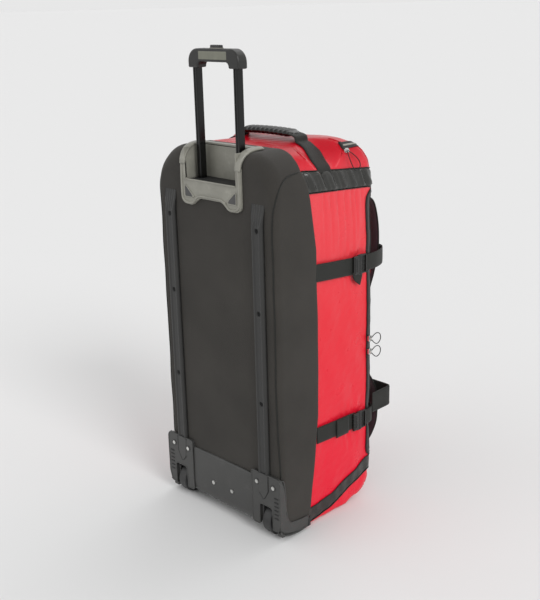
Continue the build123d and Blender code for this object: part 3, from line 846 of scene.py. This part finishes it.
def wrap_sheet(name, low_edge, high_edge, slot_name, nodes, rows, folds):
    """A strip of coated fabric sewn round the front, between two heights given per depth."""
    rays = around_front(np.linspace(99, FRONT - FRONT_CORNER, int(66 * GRID)), int(100 * GRID))
    count = len(rays)
    share = np.linspace(0, 1, rows)
    side_like = np.clip(rays[:, 1], 90, FRONT)
    low, high = low_edge(side_like), high_edge(side_like)
    starts = np.zeros((rows, count, 3))
    starts[..., 0], starts[..., 1] = rays[:, 0], rays[:, 1]
    starts[..., 2] = low + (high - low) * share[:, None]
    directions = np.zeros_like(starts)
    directions[..., 0], directions[..., 1] = rays[:, 2], rays[:, 3]
    hem = 1 - smooth_step(np.abs(share - 0.5), 0.34, 0.5)[:, None]
    stand = 1.6 + folds(starts, np.arange(count)[None, :] * 3.0) * hem
    points = cast(red_distance, starts, directions) - directions * stand[..., None]
    strip = make_object(name, points.reshape(-1, 3), grid_faces(rows, count), slot_name, nodes)
    add_thickness(strip, 1.4)
    for edge_name, row in (("low", 0), ("high", rows - 1)):
        edge = points[row] - directions[row] * 0.6
        tube(f"{name}_hem_{edge_name}", edge, 0.9, "webbing", sides=6)
    return strip


def band_folds(starts, along):
    """Slanting creases of the glossy upper band."""
    slant = along + 0.5 * starts[..., 2]
    fold = np.sin(2 * np.pi * slant / 27.0 + 1.6 * np.sin(along / 33.0)) ** 3
    return 2.2 + 2.2 * fold + 1.0 * np.sin(2 * np.pi * slant / 15.0 + 1.0)


def low_band_folds(starts, along):
    """Faint creases of the lower band."""
    return 0.6 + 0.5 * np.sin(2 * np.pi * (along + 0.3 * starts[..., 2]) / 31.0)


def low_band_bottom(depth):
    """Lower edge of the lower band at a depth."""
    return np.interp(depth, (97, 125, 173, 232, 300), (9, 11, 20, 42, 66))


def low_band_top(depth):
    """Upper edge of the lower band at a depth."""
    return np.interp(depth, (97, 130, 174, 232, 296), (42, 44, 51, 73, 98))


wrap_sheet("upper_band_fabric", band_low, band_high, "black_tarp", ("upper_band",), 15, band_folds)
wrap_sheet("lower_band_fabric", low_band_bottom, low_band_top, "black_tarp", ("lower_band",), 11,
           low_band_folds)


def ray_at(along):
    """A ray inward at a distance along the U round the front, from the right corner's start."""
    turn = FRONT_CORNER * np.pi / 2
    if along < 0:
        return (RAY_X, FRONT - FRONT_CORNER + along, -1.0, 0.0)
    if along > turn:
        return (RED_HALF - FRONT_CORNER - (along - turn), RAY_DEPTH, 0.0, -1.0)
    return corner_ray(along / FRONT_CORNER)


def zip_line():
    """Rays inward along the main zip: up each side's front edge, with a rounded turn, and across."""
    top, low, turn = 726.0, 103.0, 20.0
    middle = FRONT_CORNER * np.pi / 2 + RED_HALF - FRONT_CORNER
    path = [(middle, low), (110, low), (48, low), (8 + turn, low), (8 + turn * 0.3, low + turn * 0.3),
            (8, low + turn), (8, 200), (8, 330), (8, 460), (8, 590), (7, 640), (4, 680), (3, top - turn),
            (3 + turn * 0.3, top - turn * 0.3), (3 + turn, top), (48, top), (110, top), (middle, top)]
    half = smooth_line([(along, 0, z) for along, z in path], 4.0)
    rays = []
    for along, _, z in half:
        x, depth, dx, dd = ray_at(along)
        rays.append((x, depth, z, dx, dd))
    left_rays = [(-x, depth, z, -dx, dd) for x, depth, z, dx, dd in reversed(rays)]
    return np.array(rays + left_rays[1:-1])


def make_coil(name, line, width, thickness, slot_name):
    """A zip's coil along a line: a narrow ridge whose points rise and fall as teeth."""
    fine = smooth_line(line, 2.0)
    normals = gradient(red_distance, fine)
    teeth = 0.35 * (np.arange(len(fine)) % 2)[:, None]
    band(name, fine + normals * teeth, normals, width, thickness, slot_name, crown=0.5)


def make_main_zip():
    """The lid's zip: a dark tape on the seam with a coil of small teeth along its middle."""
    rays = zip_line()
    directions = np.stack((rays[:, 3], rays[:, 4], np.zeros(len(rays))), -1)
    surface = cast(red_distance, rays[:, :3], directions)
    surface = np.vstack((surface, surface[:1]))
    normals = gradient(red_distance, surface)
    band("main_zip_tape", surface + normals * 1.3, normals, 15.0, 1.4, "zip_tape", ("main_zip",))
    make_coil("main_zip_coil", surface + normals * 1.9, 5.0, 1.2, "moulding")
    across = unit(np.cross(headings(surface), normals))
    for edge_name, shift in (("inner", -6.6), ("outer", 6.6)):
        beside = surface + across * shift + normals * 1.9
        tube(f"main_zip_stitch_{edge_name}", beside, 0.55, "webbing", sides=5)


def make_end_zip():
    """The end pocket's zip on the right shoulder, with its garage flaps."""
    count = 30
    depths = np.linspace(226, 312, count)
    lean = np.radians(40.0)
    direction = np.array((-math.cos(lean), 0.0, -math.sin(lean)))
    starts = np.stack((np.full(count, 158.0), depths, np.full(count, 828.0)), -1) - direction * 60
    surface = cast(red_distance, starts, np.tile(direction, (count, 1)))
    normals = gradient(red_distance, surface)
    band("end_zip_tape", surface + normals * 1.0, normals, 17.0, 1.4, "zip_tape", ("end_zip",))
    make_coil("end_zip_coil", surface[2:] + normals[2:] * 1.6, 4.5, 1.4, "bezel")
    for end_name, pick in (("rear", slice(0, 3)), ("front", slice(count - 3, count))):
        band(f"end_zip_garage_{end_name}", surface[pick] + normals[pick] * 2.6, normals[pick], 20.0, 1.6,
             "webbing")


make_main_zip()
make_end_zip()


# ---- Straps, buckles and handles -----------------------------------------------------------------

# Depths along each strap, and its heights there.
STRAP_SLOPE = {"upper": ((134, 244, 300), (580, 572, 571)), "lower": ((134, 244, 300), (211, 208, 207))}
SIDE_STRAP_WIDTH = 38.0
FRONT_STRAP_WIDTH = 36.0
HAUL_DEPTH = 184.0
PAD_X = 118.0
PAD_HALF_WIDTH = 31.0
LOOP_HEIGHT = 227.0
LOOP_WIDTH = 48.0


def make_compression_strap(level, name, sign):
    """One side's compression strap: the upper one has a pointed tail, the lower one a keeper."""
    middle_z = STRAP_LEVELS[level]
    depths = np.linspace(126, 250, 42)
    outward = sideways(sign, len(depths))
    heights = np.interp(depths, *STRAP_SLOPE[level])
    starts = np.stack((np.full(len(depths), sign * RAY_X), depths, heights), -1)
    line = cast(red_distance, starts, -outward, 2.0)
    line[:, 0] = sign * np.maximum(np.abs(line[:, 0]), np.interp(depths, (133, 160), (180.0, 181.0)))
    band(f"side_strap_{level}_{name}_webbing", line, outward, SIDE_STRAP_WIDTH, 2.0, "webbing",
         (f"side_strap_{level}_{name}",), edge=0.2)
    if level == "lower":
        wrap = np.array([(sign * 183.4, depth, middle_z + 1) for depth in np.linspace(186, 226, 12)])
        band(f"strap_keeper_{name}", wrap, sideways(sign, 12), 42.0, 2.4, "webbing", crown=0.8)
        return
    tail_top, tail_tip = middle_z - 12, middle_z - 46
    tail = np.array([(sign * (184.8 + 1.4 * t), 252 + 9 * t, tail_top + (tail_tip - tail_top) * t)
                     for t in np.linspace(0, 1, 9)])
    widths = np.array([30, 31, 31, 30, 28, 23, 16, 9, 3.0])
    band(f"strap_tail_{level}_{name}", tail, sideways(sign, 9), widths, 1.8, "webbing")


def rounded_bar(name, centre, size, slot_name, radius=1.5, body="bag"):
    """A block with rounded edges, its middle and size as (x, depth, z)."""
    corners = [(i, j, k) for i in (-0.5, 0.5) for j in (-0.5, 0.5) for k in (-0.5, 0.5)]
    points = np.array(corners) * np.array(size, float) + np.array(centre, float)
    faces = ((0, 1, 3, 2), (4, 6, 7, 5), (0, 4, 5, 1), (2, 3, 7, 6), (0, 2, 6, 4), (1, 5, 7, 3))
    bar = make_object(name, points, faces, slot_name, body=body)
    add_bevel(bar, radius, 4)
    return bar


def join(name, parts):
    """Joins several plain pieces of one slot into one named piece, with their bevels applied."""
    build = bmesh.new()
    graph = bpy.context.evaluated_depsgraph_get()
    for part in parts:
        build.from_mesh(bpy.data.meshes.new_from_object(part.evaluated_get(graph)))
    keeper = parts[0]
    mesh = bpy.data.meshes.new(name)
    build.to_mesh(mesh)
    build.free()
    mesh.polygons.foreach_set("use_smooth", [True] * len(mesh.polygons))
    material = keeper.data.materials[0]
    replaced = sorted({node for part in parts for node in part.get("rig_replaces", [])})
    body, slot_name = keeper["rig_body"], keeper["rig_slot"]
    for part in parts:
        bpy.data.objects.remove(part)
    joined = bpy.data.objects.new(name, mesh)
    bpy.context.scene.collection.objects.link(joined)
    mesh.materials.clear()
    mesh.materials.append(material)
    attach(joined, body)
    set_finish(joined, slot_name)
    if replaced:
        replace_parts(joined, *replaced)
    return joined


def make_buckle(level, name, sign):
    """A side-release buckle: a socket frame with a window, and a plug with its ladder bars."""
    z = STRAP_LEVELS[level] - 1.0
    x = sign * 184.6
    socket = [rounded_bar("socket_body", (x, 252, z), (6.5, 22, 42), "buckle", 2.2),
              rounded_bar("socket_rim", (x + sign * 0.9, 261, z), (6.5, 4, 44), "buckle", 1.6),
              rounded_bar("socket_ridge", (x + sign * 3.0, 246, z), (2.4, 3, 36), "buckle", 1.0),
              rounded_bar("socket_ridge_b", (x + sign * 3.0, 251, z), (2.4, 3, 30), "buckle", 1.0)]
    join(f"buckle_socket_{level}_{name}", socket)
    plug = [rounded_bar("plug_root", (x, 266.5, z), (5.5, 6, 40), "buckle", 1.6),
            rounded_bar("ladder_a", (x + sign * 0.6, 273, z), (4.5, 3.4, 42), "buckle", 1.4),
            rounded_bar("ladder_b", (x + sign * 1.2, 281, z), (5.0, 3.6, 43), "buckle", 1.4)]
    for end in (-1, 1):
        plug.append(rounded_bar("plug_side", (x, 274, z + end * 19.6), (5.0, 17, 3.6), "buckle", 1.4))
        plug.append(rounded_bar("plug_prong", (x + sign * 0.5, 262, z + end * 21.0), (4.0, 14, 4.0),
                                "buckle", 1.6))
    join(f"buckle_plug_{level}_{name}", plug)


def make_front_strap(level):
    """The strap's free end, wrapped round the front between the two plugs."""
    z = STRAP_LEVELS[level] - 2.0
    if level == "upper":
        route = ((182.5, 276), (183.5, 300), (180, 330), (166, 362), (140, 380), (70, 384), (0, 384))
    else:
        route = ((182.5, 276), (182.5, 295), (179, 311), (166, 324), (140, 328.5), (70, 330), (0, 330.5))
    half = smooth_line([(x, depth, z) for x, depth in route], 4.0)
    line = mirrored(half)
    tangent = headings(line)
    normals = np.stack((tangent[:, 1], -tangent[:, 0], np.zeros(len(line))), -1)
    facing = line - (0, 200, z)
    normals *= np.sign((normals * facing).sum(axis=1))[:, None]
    band(f"front_strap_{level}_webbing", line, normals, FRONT_STRAP_WIDTH, 2.0, "webbing",
         (f"front_strap_{level}",), edge=0.2)


for level_name in STRAP_LEVELS:
    make_front_strap(level_name)
    for side_name, side_sign in SIDES:
        make_compression_strap(level_name, side_name, side_sign)
        make_buckle(level_name, side_name, side_sign)
for level_name, node_pair in (("upper", ("buckle_sockets",)), ("lower", ("buckle_plugs",))):
    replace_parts(bpy.data.objects[f"buckle_socket_{level_name}_left"], *node_pair)


def make_haul_handle():
    """The end's haul handle: webbing over the shoulders and a ribbed moulded grip."""
    angles = np.linspace(math.radians(2), math.radians(88), 30)
    centre = np.array((88.0, HAUL_DEPTH, 772.0))
    rays = np.stack((np.cos(angles), np.zeros(30), np.sin(angles)), -1)
    starts = centre + rays * 160
    starts[:, 1] = HAUL_DEPTH - 24 * np.cos(angles) ** 3
    shoulder = cast(red_distance, starts, -rays, 2.2)
    shoulder = shoulder[shoulder[:, 2] > 783]
    rise = [(x, HAUL_DEPTH, z) for x, z in ((88, 849.5), (72, 854.5), (40, 857.0), (0, 858.0))]
    half = smooth_line(np.vstack((shoulder[::3], rise)), 4.0)
    line = mirrored(half)
    tangent = headings(line)
    normals = unit(np.stack((-tangent[:, 2], 0 * tangent[:, 0], tangent[:, 0]), -1))
    normals *= np.sign(normals[:, 2:3] + 1e-6)
    band("haul_handle_webbing", line, normals, SIDE_STRAP_WIDTH, 2.2, "webbing", ("haul_webbing",),
         edge=0.2)
    stations = np.linspace(-76, 76, 115)
    angles = round_angles(32)
    rings = []
    for x in stations:
        end = 1 - 0.5 * smooth_step(abs(x), 66, 76)
        rib = 3.0 * max(0.0, math.sin(2 * np.pi * x / 13.5)) ** 0.6 * (abs(x) < 67)
        y = HAUL_DEPTH + (19.5 * end + rib) * np.sign(np.cos(angles)) * np.abs(np.cos(angles)) ** 0.7
        z = 857.0 - 2.5 * (x / 76) ** 2 + (5.0 * end + rib) * np.sin(angles)
        rings.append(np.stack((np.full(len(angles), x), y, z), -1))
    grip = loft("haul_grip_moulding", np.array(rings), "rubber", ("haul_grip",))
    dress(grip, "buckle")


def make_shoulder_strap(name, sign):
    """A padded shoulder strap on the lid, in two crowned pads joined by flat webbing."""
    route = ((330, 708), (352, 690), (366, 640), (367, 580), (352, 528), (335, 480), (334, 390),
             (335, 300), (350, 268), (367, 228), (367, 165), (350, 132), (330, 116))
    line = smooth_line([(sign * PAD_X, depth, z) for depth, z in route], 5.0)
    tangent = headings(line)
    normals = np.stack((0 * tangent[:, 0], -tangent[:, 2], tangent[:, 1]), -1)
    normals *= np.sign(normals[:, 1:2] + 1e-6)
    along = np.linspace(0, 1, len(line))
    quilting = 1.2 * np.abs(np.sin(along * 40.0)) ** 0.5
    section = []
    for angle in round_angles(32):
        wide = math.copysign(abs(math.cos(angle)) ** 0.55, math.cos(angle))
        thick = math.copysign(abs(math.sin(angle)) ** 0.8, math.sin(angle))
        section.append((wide, thick))
    section = np.array(section)
    half_thick = (4.4 + quilting)[:, None, None]
    rings = (line[:, None, :] + np.array((1.0, 0, 0)) * (section[None, :, 0:1] * PAD_HALF_WIDTH)
             + normals[:, None, :] * section[None, :, 1:2] * half_thick)
    pad = loft(f"shoulder_pad_{name}", rings, "strap_pad", (f"shoulder_strap_{name}",))
    for edge_name, edge_sign in (("inner", -1), ("outer", 1)):
        edge = line + np.array((edge_sign * (PAD_HALF_WIDTH + 0.5), 0, 0))
        tube(f"shoulder_pad_{name}_binding_{edge_name}", edge, 1.8, "webbing", sides=8)
    band(f"shoulder_pad_{name}_webbing", line[6:-6] + normals[6:-6] * 6.6, normals[6:-6], 24.0, 1.8,
         "webbing")


def make_grab_loop(name, sign):
    """A boxy webbing grab loop on the lid's lower part."""
    route = ((76, 322), (76, 350), (77, 378), (84, 386), (110, 387), (145, 387), (168, 386), (175, 380),
             (176, 350), (176, 318))
    line = smooth_line([(sign * x, depth, LOOP_HEIGHT) for x, depth in route], 3.0)
    tangent = headings(line)
    normals = np.stack((tangent[:, 1], -tangent[:, 0], 0 * tangent[:, 0]), -1)
    if sign > 0:
        normals = -normals
    band(f"grab_loop_{name}_webbing", line, normals, LOOP_WIDTH, 2.2, "webbing",
         (f"grab_loop_{name}",), edge=0.2)
    for edge_name, rise in (("low", -20.0), ("high", 20.0)):
        stitch = line + normals * 1.2 + np.array((0, 0, rise))
        tube(f"grab_loop_{name}_stitch_{edge_name}", stitch, 0.5, "zip_tape", sides=5)


make_haul_handle()
for side_name, side_sign in SIDES:
    make_shoulder_strap(side_name, side_sign)
    make_grab_loop(side_name, side_sign)


# ---- Hard parts on the back ----------------------------------------------------------------------

RAIL_X = 136.0
SCREW_HEIGHTS = (314.0, 513.0, 686.0)
TUBE_X = 61.0
TUBE_DEPTH = 37.0
SPRING_FOOT = 1011.1
SPRING_HEIGHT = 7.0
SPRING_PITCH = 1.8


def make_rail(name, sign):
    """A back rail: a channelled runner with fluted ramp and sunk screw holes."""
    heights = np.arange(150.0, 741.0, 1.5 if GRID > 0.9 else 4.0)
    across = np.linspace(-16, 16, 41)
    wall = np.interp(np.abs(across), (0, 5.5, 7, 9, 12.5, 14.5, 16), (1.7, 1.7, 1.2, 0.1, 0.4, 2.6, 8.8))
    x, z = np.meshgrid(across, heights, indexing="ij")
    depth = np.repeat(wall[:, None], len(heights), axis=1)
    ramp = smooth_step(z, 684, 742)
    fan = 1 + 0.16 * smooth_step(z, 690, 735)
    flutes = 0.9 * np.abs(np.sin(np.pi * x / 6.2)) * smooth_step(z, 690, 704)
    depth = np.maximum(depth, 8.2 * ramp ** 1.4) + flutes * (np.abs(x) < 15)
    depth = np.minimum(depth, 9.4)
    for height in SCREW_HEIGHTS:
        radius = np.hypot(x, z - height)
        depth = np.where(radius < 5.2, np.maximum(depth, 5.4), depth)
    points = np.stack((sign * RAIL_X + x * fan, depth, z), -1)
    faces = grid_faces(len(across), len(heights))
    rail = make_object(f"rail_{name}_moulding", points.reshape(-1, 3), faces, "moulding",
                       (f"rail_{name}",))
    dress(rail, "rail")
    add_thickness(rail, 1.2)


def outline_plate(name, outline, depth_range, slot_name, nodes=(), radius=1.2):
    """A flat moulded plate: an outline of (x, z) points between two depths, its edges rounded."""
    count = len(outline)
    points = [(x, depth_range[0], z) for x, z in outline] + [(x, depth_range[1], z) for x, z in outline]
    faces = [tuple(range(count)), tuple(range(2 * count - 1, count - 1, -1))]
    faces += [(i, (i + 1) % count, count + (i + 1) % count, count + i) for i in range(count)]
    plate = make_object(name, points, faces, slot_name, nodes)
    add_bevel(plate, radius, 3, 40)
    return plate


def round_corners(outline, radius, steps=6):
    """An outline with each corner rounded; radius is one number, or one for each corner."""
    points = np.array(outline, float)
    radii = np.broadcast_to(np.asarray(radius, float), (len(points),))
    rounded = []
    for i, corner in enumerate(points):
        to_last, to_next = points[i - 1] - corner, points[(i + 1) % len(points)] - corner
        before, after = unit(to_last), unit(to_next)
        reach = min(np.linalg.norm(to_last), np.linalg.norm(to_next))
        angle = math.acos(float(np.clip(before @ after, -1, 1)))
        length = min(radii[i] / math.tan(angle / 2), reach * 0.48) if radii[i] > 0 else 0
        if length < 0.05:
            rounded.append(corner)
            continue
        a, b = corner + before * length, corner + after * length
        for t in np.linspace(0, 1, steps):
            rounded.append((1 - t) ** 2 * a + 2 * t * (1 - t) * corner + t * t * b)
    return [tuple(p) for p in rounded]


def make_bezel():
    """The trolley's bezel: an apron with two lobes, ears that bend over the top, and the pocket."""
    apron = [(-78, 768), (-78, 806), (-93, 806), (-93, 716), (-58, 714), (-34, 731), (34, 731), (58, 714),
             (93, 716), (93, 806), (78, 806), (78, 768)]
    radii = [3, 0, 0, 17, 20, 22, 22, 20, 17, 0, 0, 3]
    outline = round_corners(apron, radii, 8)
    outline_plate("bezel_apron", outline, (3.2, 9.5), "bezel", ("trolley_bezel",), 1.6)
    half_rim = [(85.5, 806), (88.5, 790), (89, 735), (84, 723), (70, 718.5), (56, 720), (42, 732), (30, 736)]
    rim = [(-x, z) for x, z in half_rim] + [(0, 736.5)] + half_rim[::-1]
    bead("bezel_rim", rim, 3.0, 3.0, 2.6, "bezel", 12)
    bead("bezel_lip", [(x, 768.5) for x in (-78, -40, 0, 40, 78)], 2.8, 6.0, 1.9, "bezel", 10)
    for name, sign in SIDES:
        path = smooth_line(((sign * 85.5, 3.4, 800), (sign * 85.8, 6.0, 814), (sign * 86.5, 14, 827),
                            (sign * 87, 27, 835.5), (sign * 87, 44, 839), (sign * 87, 66, 840)), 3.0)
        tangent = headings(path)
        normals = unit(np.stack((0 * tangent[:, 0], -tangent[:, 2], tangent[:, 1]), -1))
        band(f"bezel_ear_{name}", path, normals, np.linspace(16, 20, len(path)), 5.0, "bezel",
             crown=0.8, edge=0.3)
        # Each lobe's triangular recess is painted shade: a flat dark plate laid on the apron's face where
        # the hollow's shade falls, ringed by a rim bead.
        recess = [(sign * x, z) for x, z in ((50, 731), (80, 731), (80, 759))]
        outline_plate(f"bezel_recess_{name}", round_corners(recess, 3.5), (2.4, 4.0), "internal", (), 0.6)
        border = round_corners(recess, 4.0) + [(sign * 50.6, 732.5)]
        bead(f"bezel_recess_rim_{name}", border, 2.5, 2.0, 1.2, "bezel")
        rounded_bar(f"pocket_wall_{name}", (sign * 79.5, 32, 801), (3, 56, 68), "bezel", 0.8)
        rounded_bar(f"tube_collar_{name}", (sign * TUBE_X, TUBE_DEPTH, 767.2), (20, 25, 1.4), "rubber", 0.5)
    rounded_bar("pocket_front_wall", (0, 59.5, 801), (158, 3, 68), "bezel", 0.8)
    rounded_bar("pocket_floor", (0, 32, 765.5), (158, 56, 3), "rubber", 0.8)
    rounded_bar("bezel_top_rim", (0, 65, 838.4), (190, 13, 4.6), "bezel", 1.8)


def make_kick_plate():
    """The plate between the wheel housings, rolled under at its lower edge."""
    across = np.linspace(-103, 103, int(60 * GRID))
    profile = ((9.2, 138.5), (6.2, 138.0), (4.4, 135), (4.0, 100), (3.6, 60), (4.2, 40), (7.5, 29),
               (13, 24), (22, 20.8), (40, 20.4))
    rows = smooth_line([(0, depth, z) for depth, z in profile], 3.0)
    points = np.zeros((len(across), len(rows), 3))
    points[..., 0] = across[:, None]
    points[..., 1] = rows[:, 1] + 0.5 * np.cos(np.pi * across[:, None] / 103)
    sag = np.where(rows[:, 2] < 60, 1.0, 0.0)
    points[..., 2] = rows[:, 2] - sag * 1.5 * np.cos(np.pi * across[:, None] / 206)
    plate = make_object("kick_plate_moulding", points.reshape(-1, 3), grid_faces(len(across), len(rows)),
                        "moulding", ("kick_plate",))
    add_thickness(plate, 1.6)


def make_housing(name, sign):
    """A wheel housing: plate with a notch for the wheel, dark well, side lip and raised detail."""
    plate = [(100, 27), (100, 152), (187, 152), (187, 50), (180, 27), (164, 27), (163, 79), (123, 79),
             (122, 27)]
    radii = [8, 7, 14, 26, 8, 3, 9, 9, 3]
    outline = round_corners([(sign * x, z) for x, z in plate], radii, 8)
    outline_plate(f"housing_plate_{name}", outline, (1.2, 9.6), "moulding",
                  (f"wheel_housing_{name}",), 1.6)
    bead(f"housing_rim_{name}", outline + outline[:1], 1.6, 3.0, 1.5, "moulding")
    walls = [rounded_bar("well_inner", (sign * 126, 44, 52), (4, 72, 58), "internal", 1.0),
             rounded_bar("well_outer", (sign * 160, 44, 52), (4, 72, 58), "internal", 1.0),
             rounded_bar("well_top", (sign * 143, 44, 78), (38, 72, 4), "internal", 1.0),
             rounded_bar("well_front", (sign * 143, 78.5, 51), (38, 4, 58), "internal", 1.0)]
    join(f"wheel_well_{name}", walls)
    arrow = [(sign * x, z) for x, z in ((121, 153), (151, 153), (151, 114), (137, 90), (125, 104))]
    shape = round_corners(arrow, 4.0)
    outline_plate(f"housing_arrow_{name}", shape, (0.3, 1.9), "moulding", (), 0.7)
    bead(f"housing_arrow_rim_{name}", shape, 0.5, 2.5, 0.9, "rubber", 6)
    ribs = [rounded_bar("rib", (sign * 175, 0.8, 58 + k * 9.5), (12, 2.4, 3.0), "rubber", 1.0)
            for k in range(6)]
    join(f"housing_ribs_{name}", ribs)
    for x in (116, 166):
        ring = [(sign * x + 6.4 * math.cos(a), 0.9, 128 + 6.4 * math.sin(a))
                for a in round_angles(28)]
        tube(f"rivet_washer_{name}_{x}", np.array(ring), 1.0, "moulding", sides=8, closed=True)
    lip_inner = [(3, 148), (14, 146), (19, 118), (21, 66), (32, 41), (58, 34), (90, 32)]
    lip_outer = [(3, 27), (3, 27.5), (5, 26), (9, 20), (24, 12), (56, 7), (90, 9)]
    inner = smooth_line([(0, d, z) for d, z in lip_inner], 5.0)
    share = np.linspace(0, 1, len(inner))
    outer = smooth_line([(0, d, z) for d, z in lip_outer], 2.0)
    outer = outer[(share * (len(outer) - 1)).astype(int)]
    sheet = np.stack([outer + (inner - outer) * t for t in np.linspace(0, 1, 9)])
    sheet[..., 0] = sign * (184.2 + 2.4 * np.sin(np.pi * np.linspace(0, 1, 9)) ** 0.5)[:, None]
    lip = make_object(f"housing_lip_{name}", sheet.reshape(-1, 3), grid_faces(9, len(inner)),
                      "moulding")
    add_thickness(lip, 2.4)
    for edge_name, route in (("inner", inner), ("outer", outer)):
        line = route + np.array((sign * 184.6, 0, 0))
        steps = np.linalg.norm(np.diff(line, axis=0), axis=1)
        line = line[np.concatenate(([True], steps > 0.4))]
        tube(f"housing_lip_bead_{name}_{edge_name}", line, 1.9, "moulding", sides=8)
    rounded_bar(f"housing_foot_{name}", (sign * 176, 50, 15), (17, 84, 10), "moulding", 4.0)
    rounded_bar(f"housing_foot_cap_{name}", (sign * 183.6, 91, 17), (8, 9, 19), "rubber", 2.6)


for side_name, side_sign in SIDES:
    make_rail(side_name, side_sign)
    make_housing(side_name, side_sign)


def make_grip_trim():
    """Small parts on the trolley's grip: the button's pale collar and a short sleeve on each tube just below
    the grip.
    """
    ring = [(18.6 * math.copysign(abs(math.cos(a)) ** 0.7, math.cos(a)), TUBE_DEPTH + 7.2 * math.sin(a),
             1034.4) for a in round_angles(40)]
    tube("button_collar", np.array(ring), 1.1, "bezel", sides=8, closed=True, body="trolley")
    for name, sign in SIDES:
        place = (sign * TUBE_X, TUBE_DEPTH, 1000.5)
        rounded_bar(f"grip_sleeve_{name}", place, (24, 23, 9), "grip", 2.5, "trolley")


def make_button_spring():
    """The coil under the release button, built at its rest length on a mesh of its own."""
    turns = np.linspace(0, 2 * np.pi * SPRING_HEIGHT / SPRING_PITCH, 120)
    coil = np.stack((3 * np.cos(turns), TUBE_DEPTH + 3 * np.sin(turns),
                     SPRING_FOOT + 0.4 + SPRING_HEIGHT * turns / turns[-1]), -1)
    spring = tube("button_spring_coil", coil, 0.4, "steel", ("button_spring",), 8, body="trolley")
    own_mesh(spring)


make_bezel()
make_kick_plate()
make_grip_trim()
make_button_spring()


# ---- Floor and light -----------------------------------------------------------------------------

def make_floor():
    """A pale floor that runs to the horizon."""
    reach, turns = 400.0, 64
    ring = [(reach * math.cos(2 * np.pi * k / turns), reach * math.sin(2 * np.pi * k / turns), 0.0)
            for k in range(turns)]
    mesh = bpy.data.meshes.new("floor")
    mesh.from_pydata(ring, [], [tuple(range(turns))])
    floor = bpy.data.objects.new("floor", mesh)
    paper = Surface("floor_paper", (0.755, 0.755, 0.755), 1.0, gloss=0.0)
    mesh.materials.append(paper.material)
    bpy.context.scene.collection.objects.link(floor)


def make_sun(name, azimuth, elevation, strength, softness):
    """A soft distant light from this azimuth (0 is +X, 90 is +Y) and elevation, in degrees."""
    data = bpy.data.lights.new(name, "SUN")
    data.energy = strength
    data.angle = math.radians(softness)
    light = bpy.data.objects.new(name, data)
    a, e = math.radians(azimuth), math.radians(elevation)
    toward = Vector((math.cos(a) * math.cos(e), math.sin(a) * math.cos(e), math.sin(e)))
    light.rotation_euler = toward.to_track_quat("Z", "Y").to_euler()
    bpy.context.scene.collection.objects.link(light)


def make_sky():
    """Studio surroundings: bright round the horizon and dimmer overhead."""
    studio = bpy.data.worlds.new("studio")
    tree = Tree(studio)
    height = tree.height(tree.coordinates("Generated"))
    tone = tree.ramp(height, (0.0, (0.80,) * 3), (0.2, (0.95,) * 3), (0.9, (0.55,) * 3))
    tree.links.new(tone, tree.nodes["Background"].inputs["Color"])
    bpy.context.scene.world = studio


make_sky()
make_floor()
make_sun("key", -12.0, 32.0, 1.35, 25.0)
make_sun("back_fill", -115.0, 35.0, 0.3, 50.0)
make_sun("front_fill", 100.0, 45.0, 0.5, 50.0)
bpy.context.scene.view_settings.view_transform = "Standard"
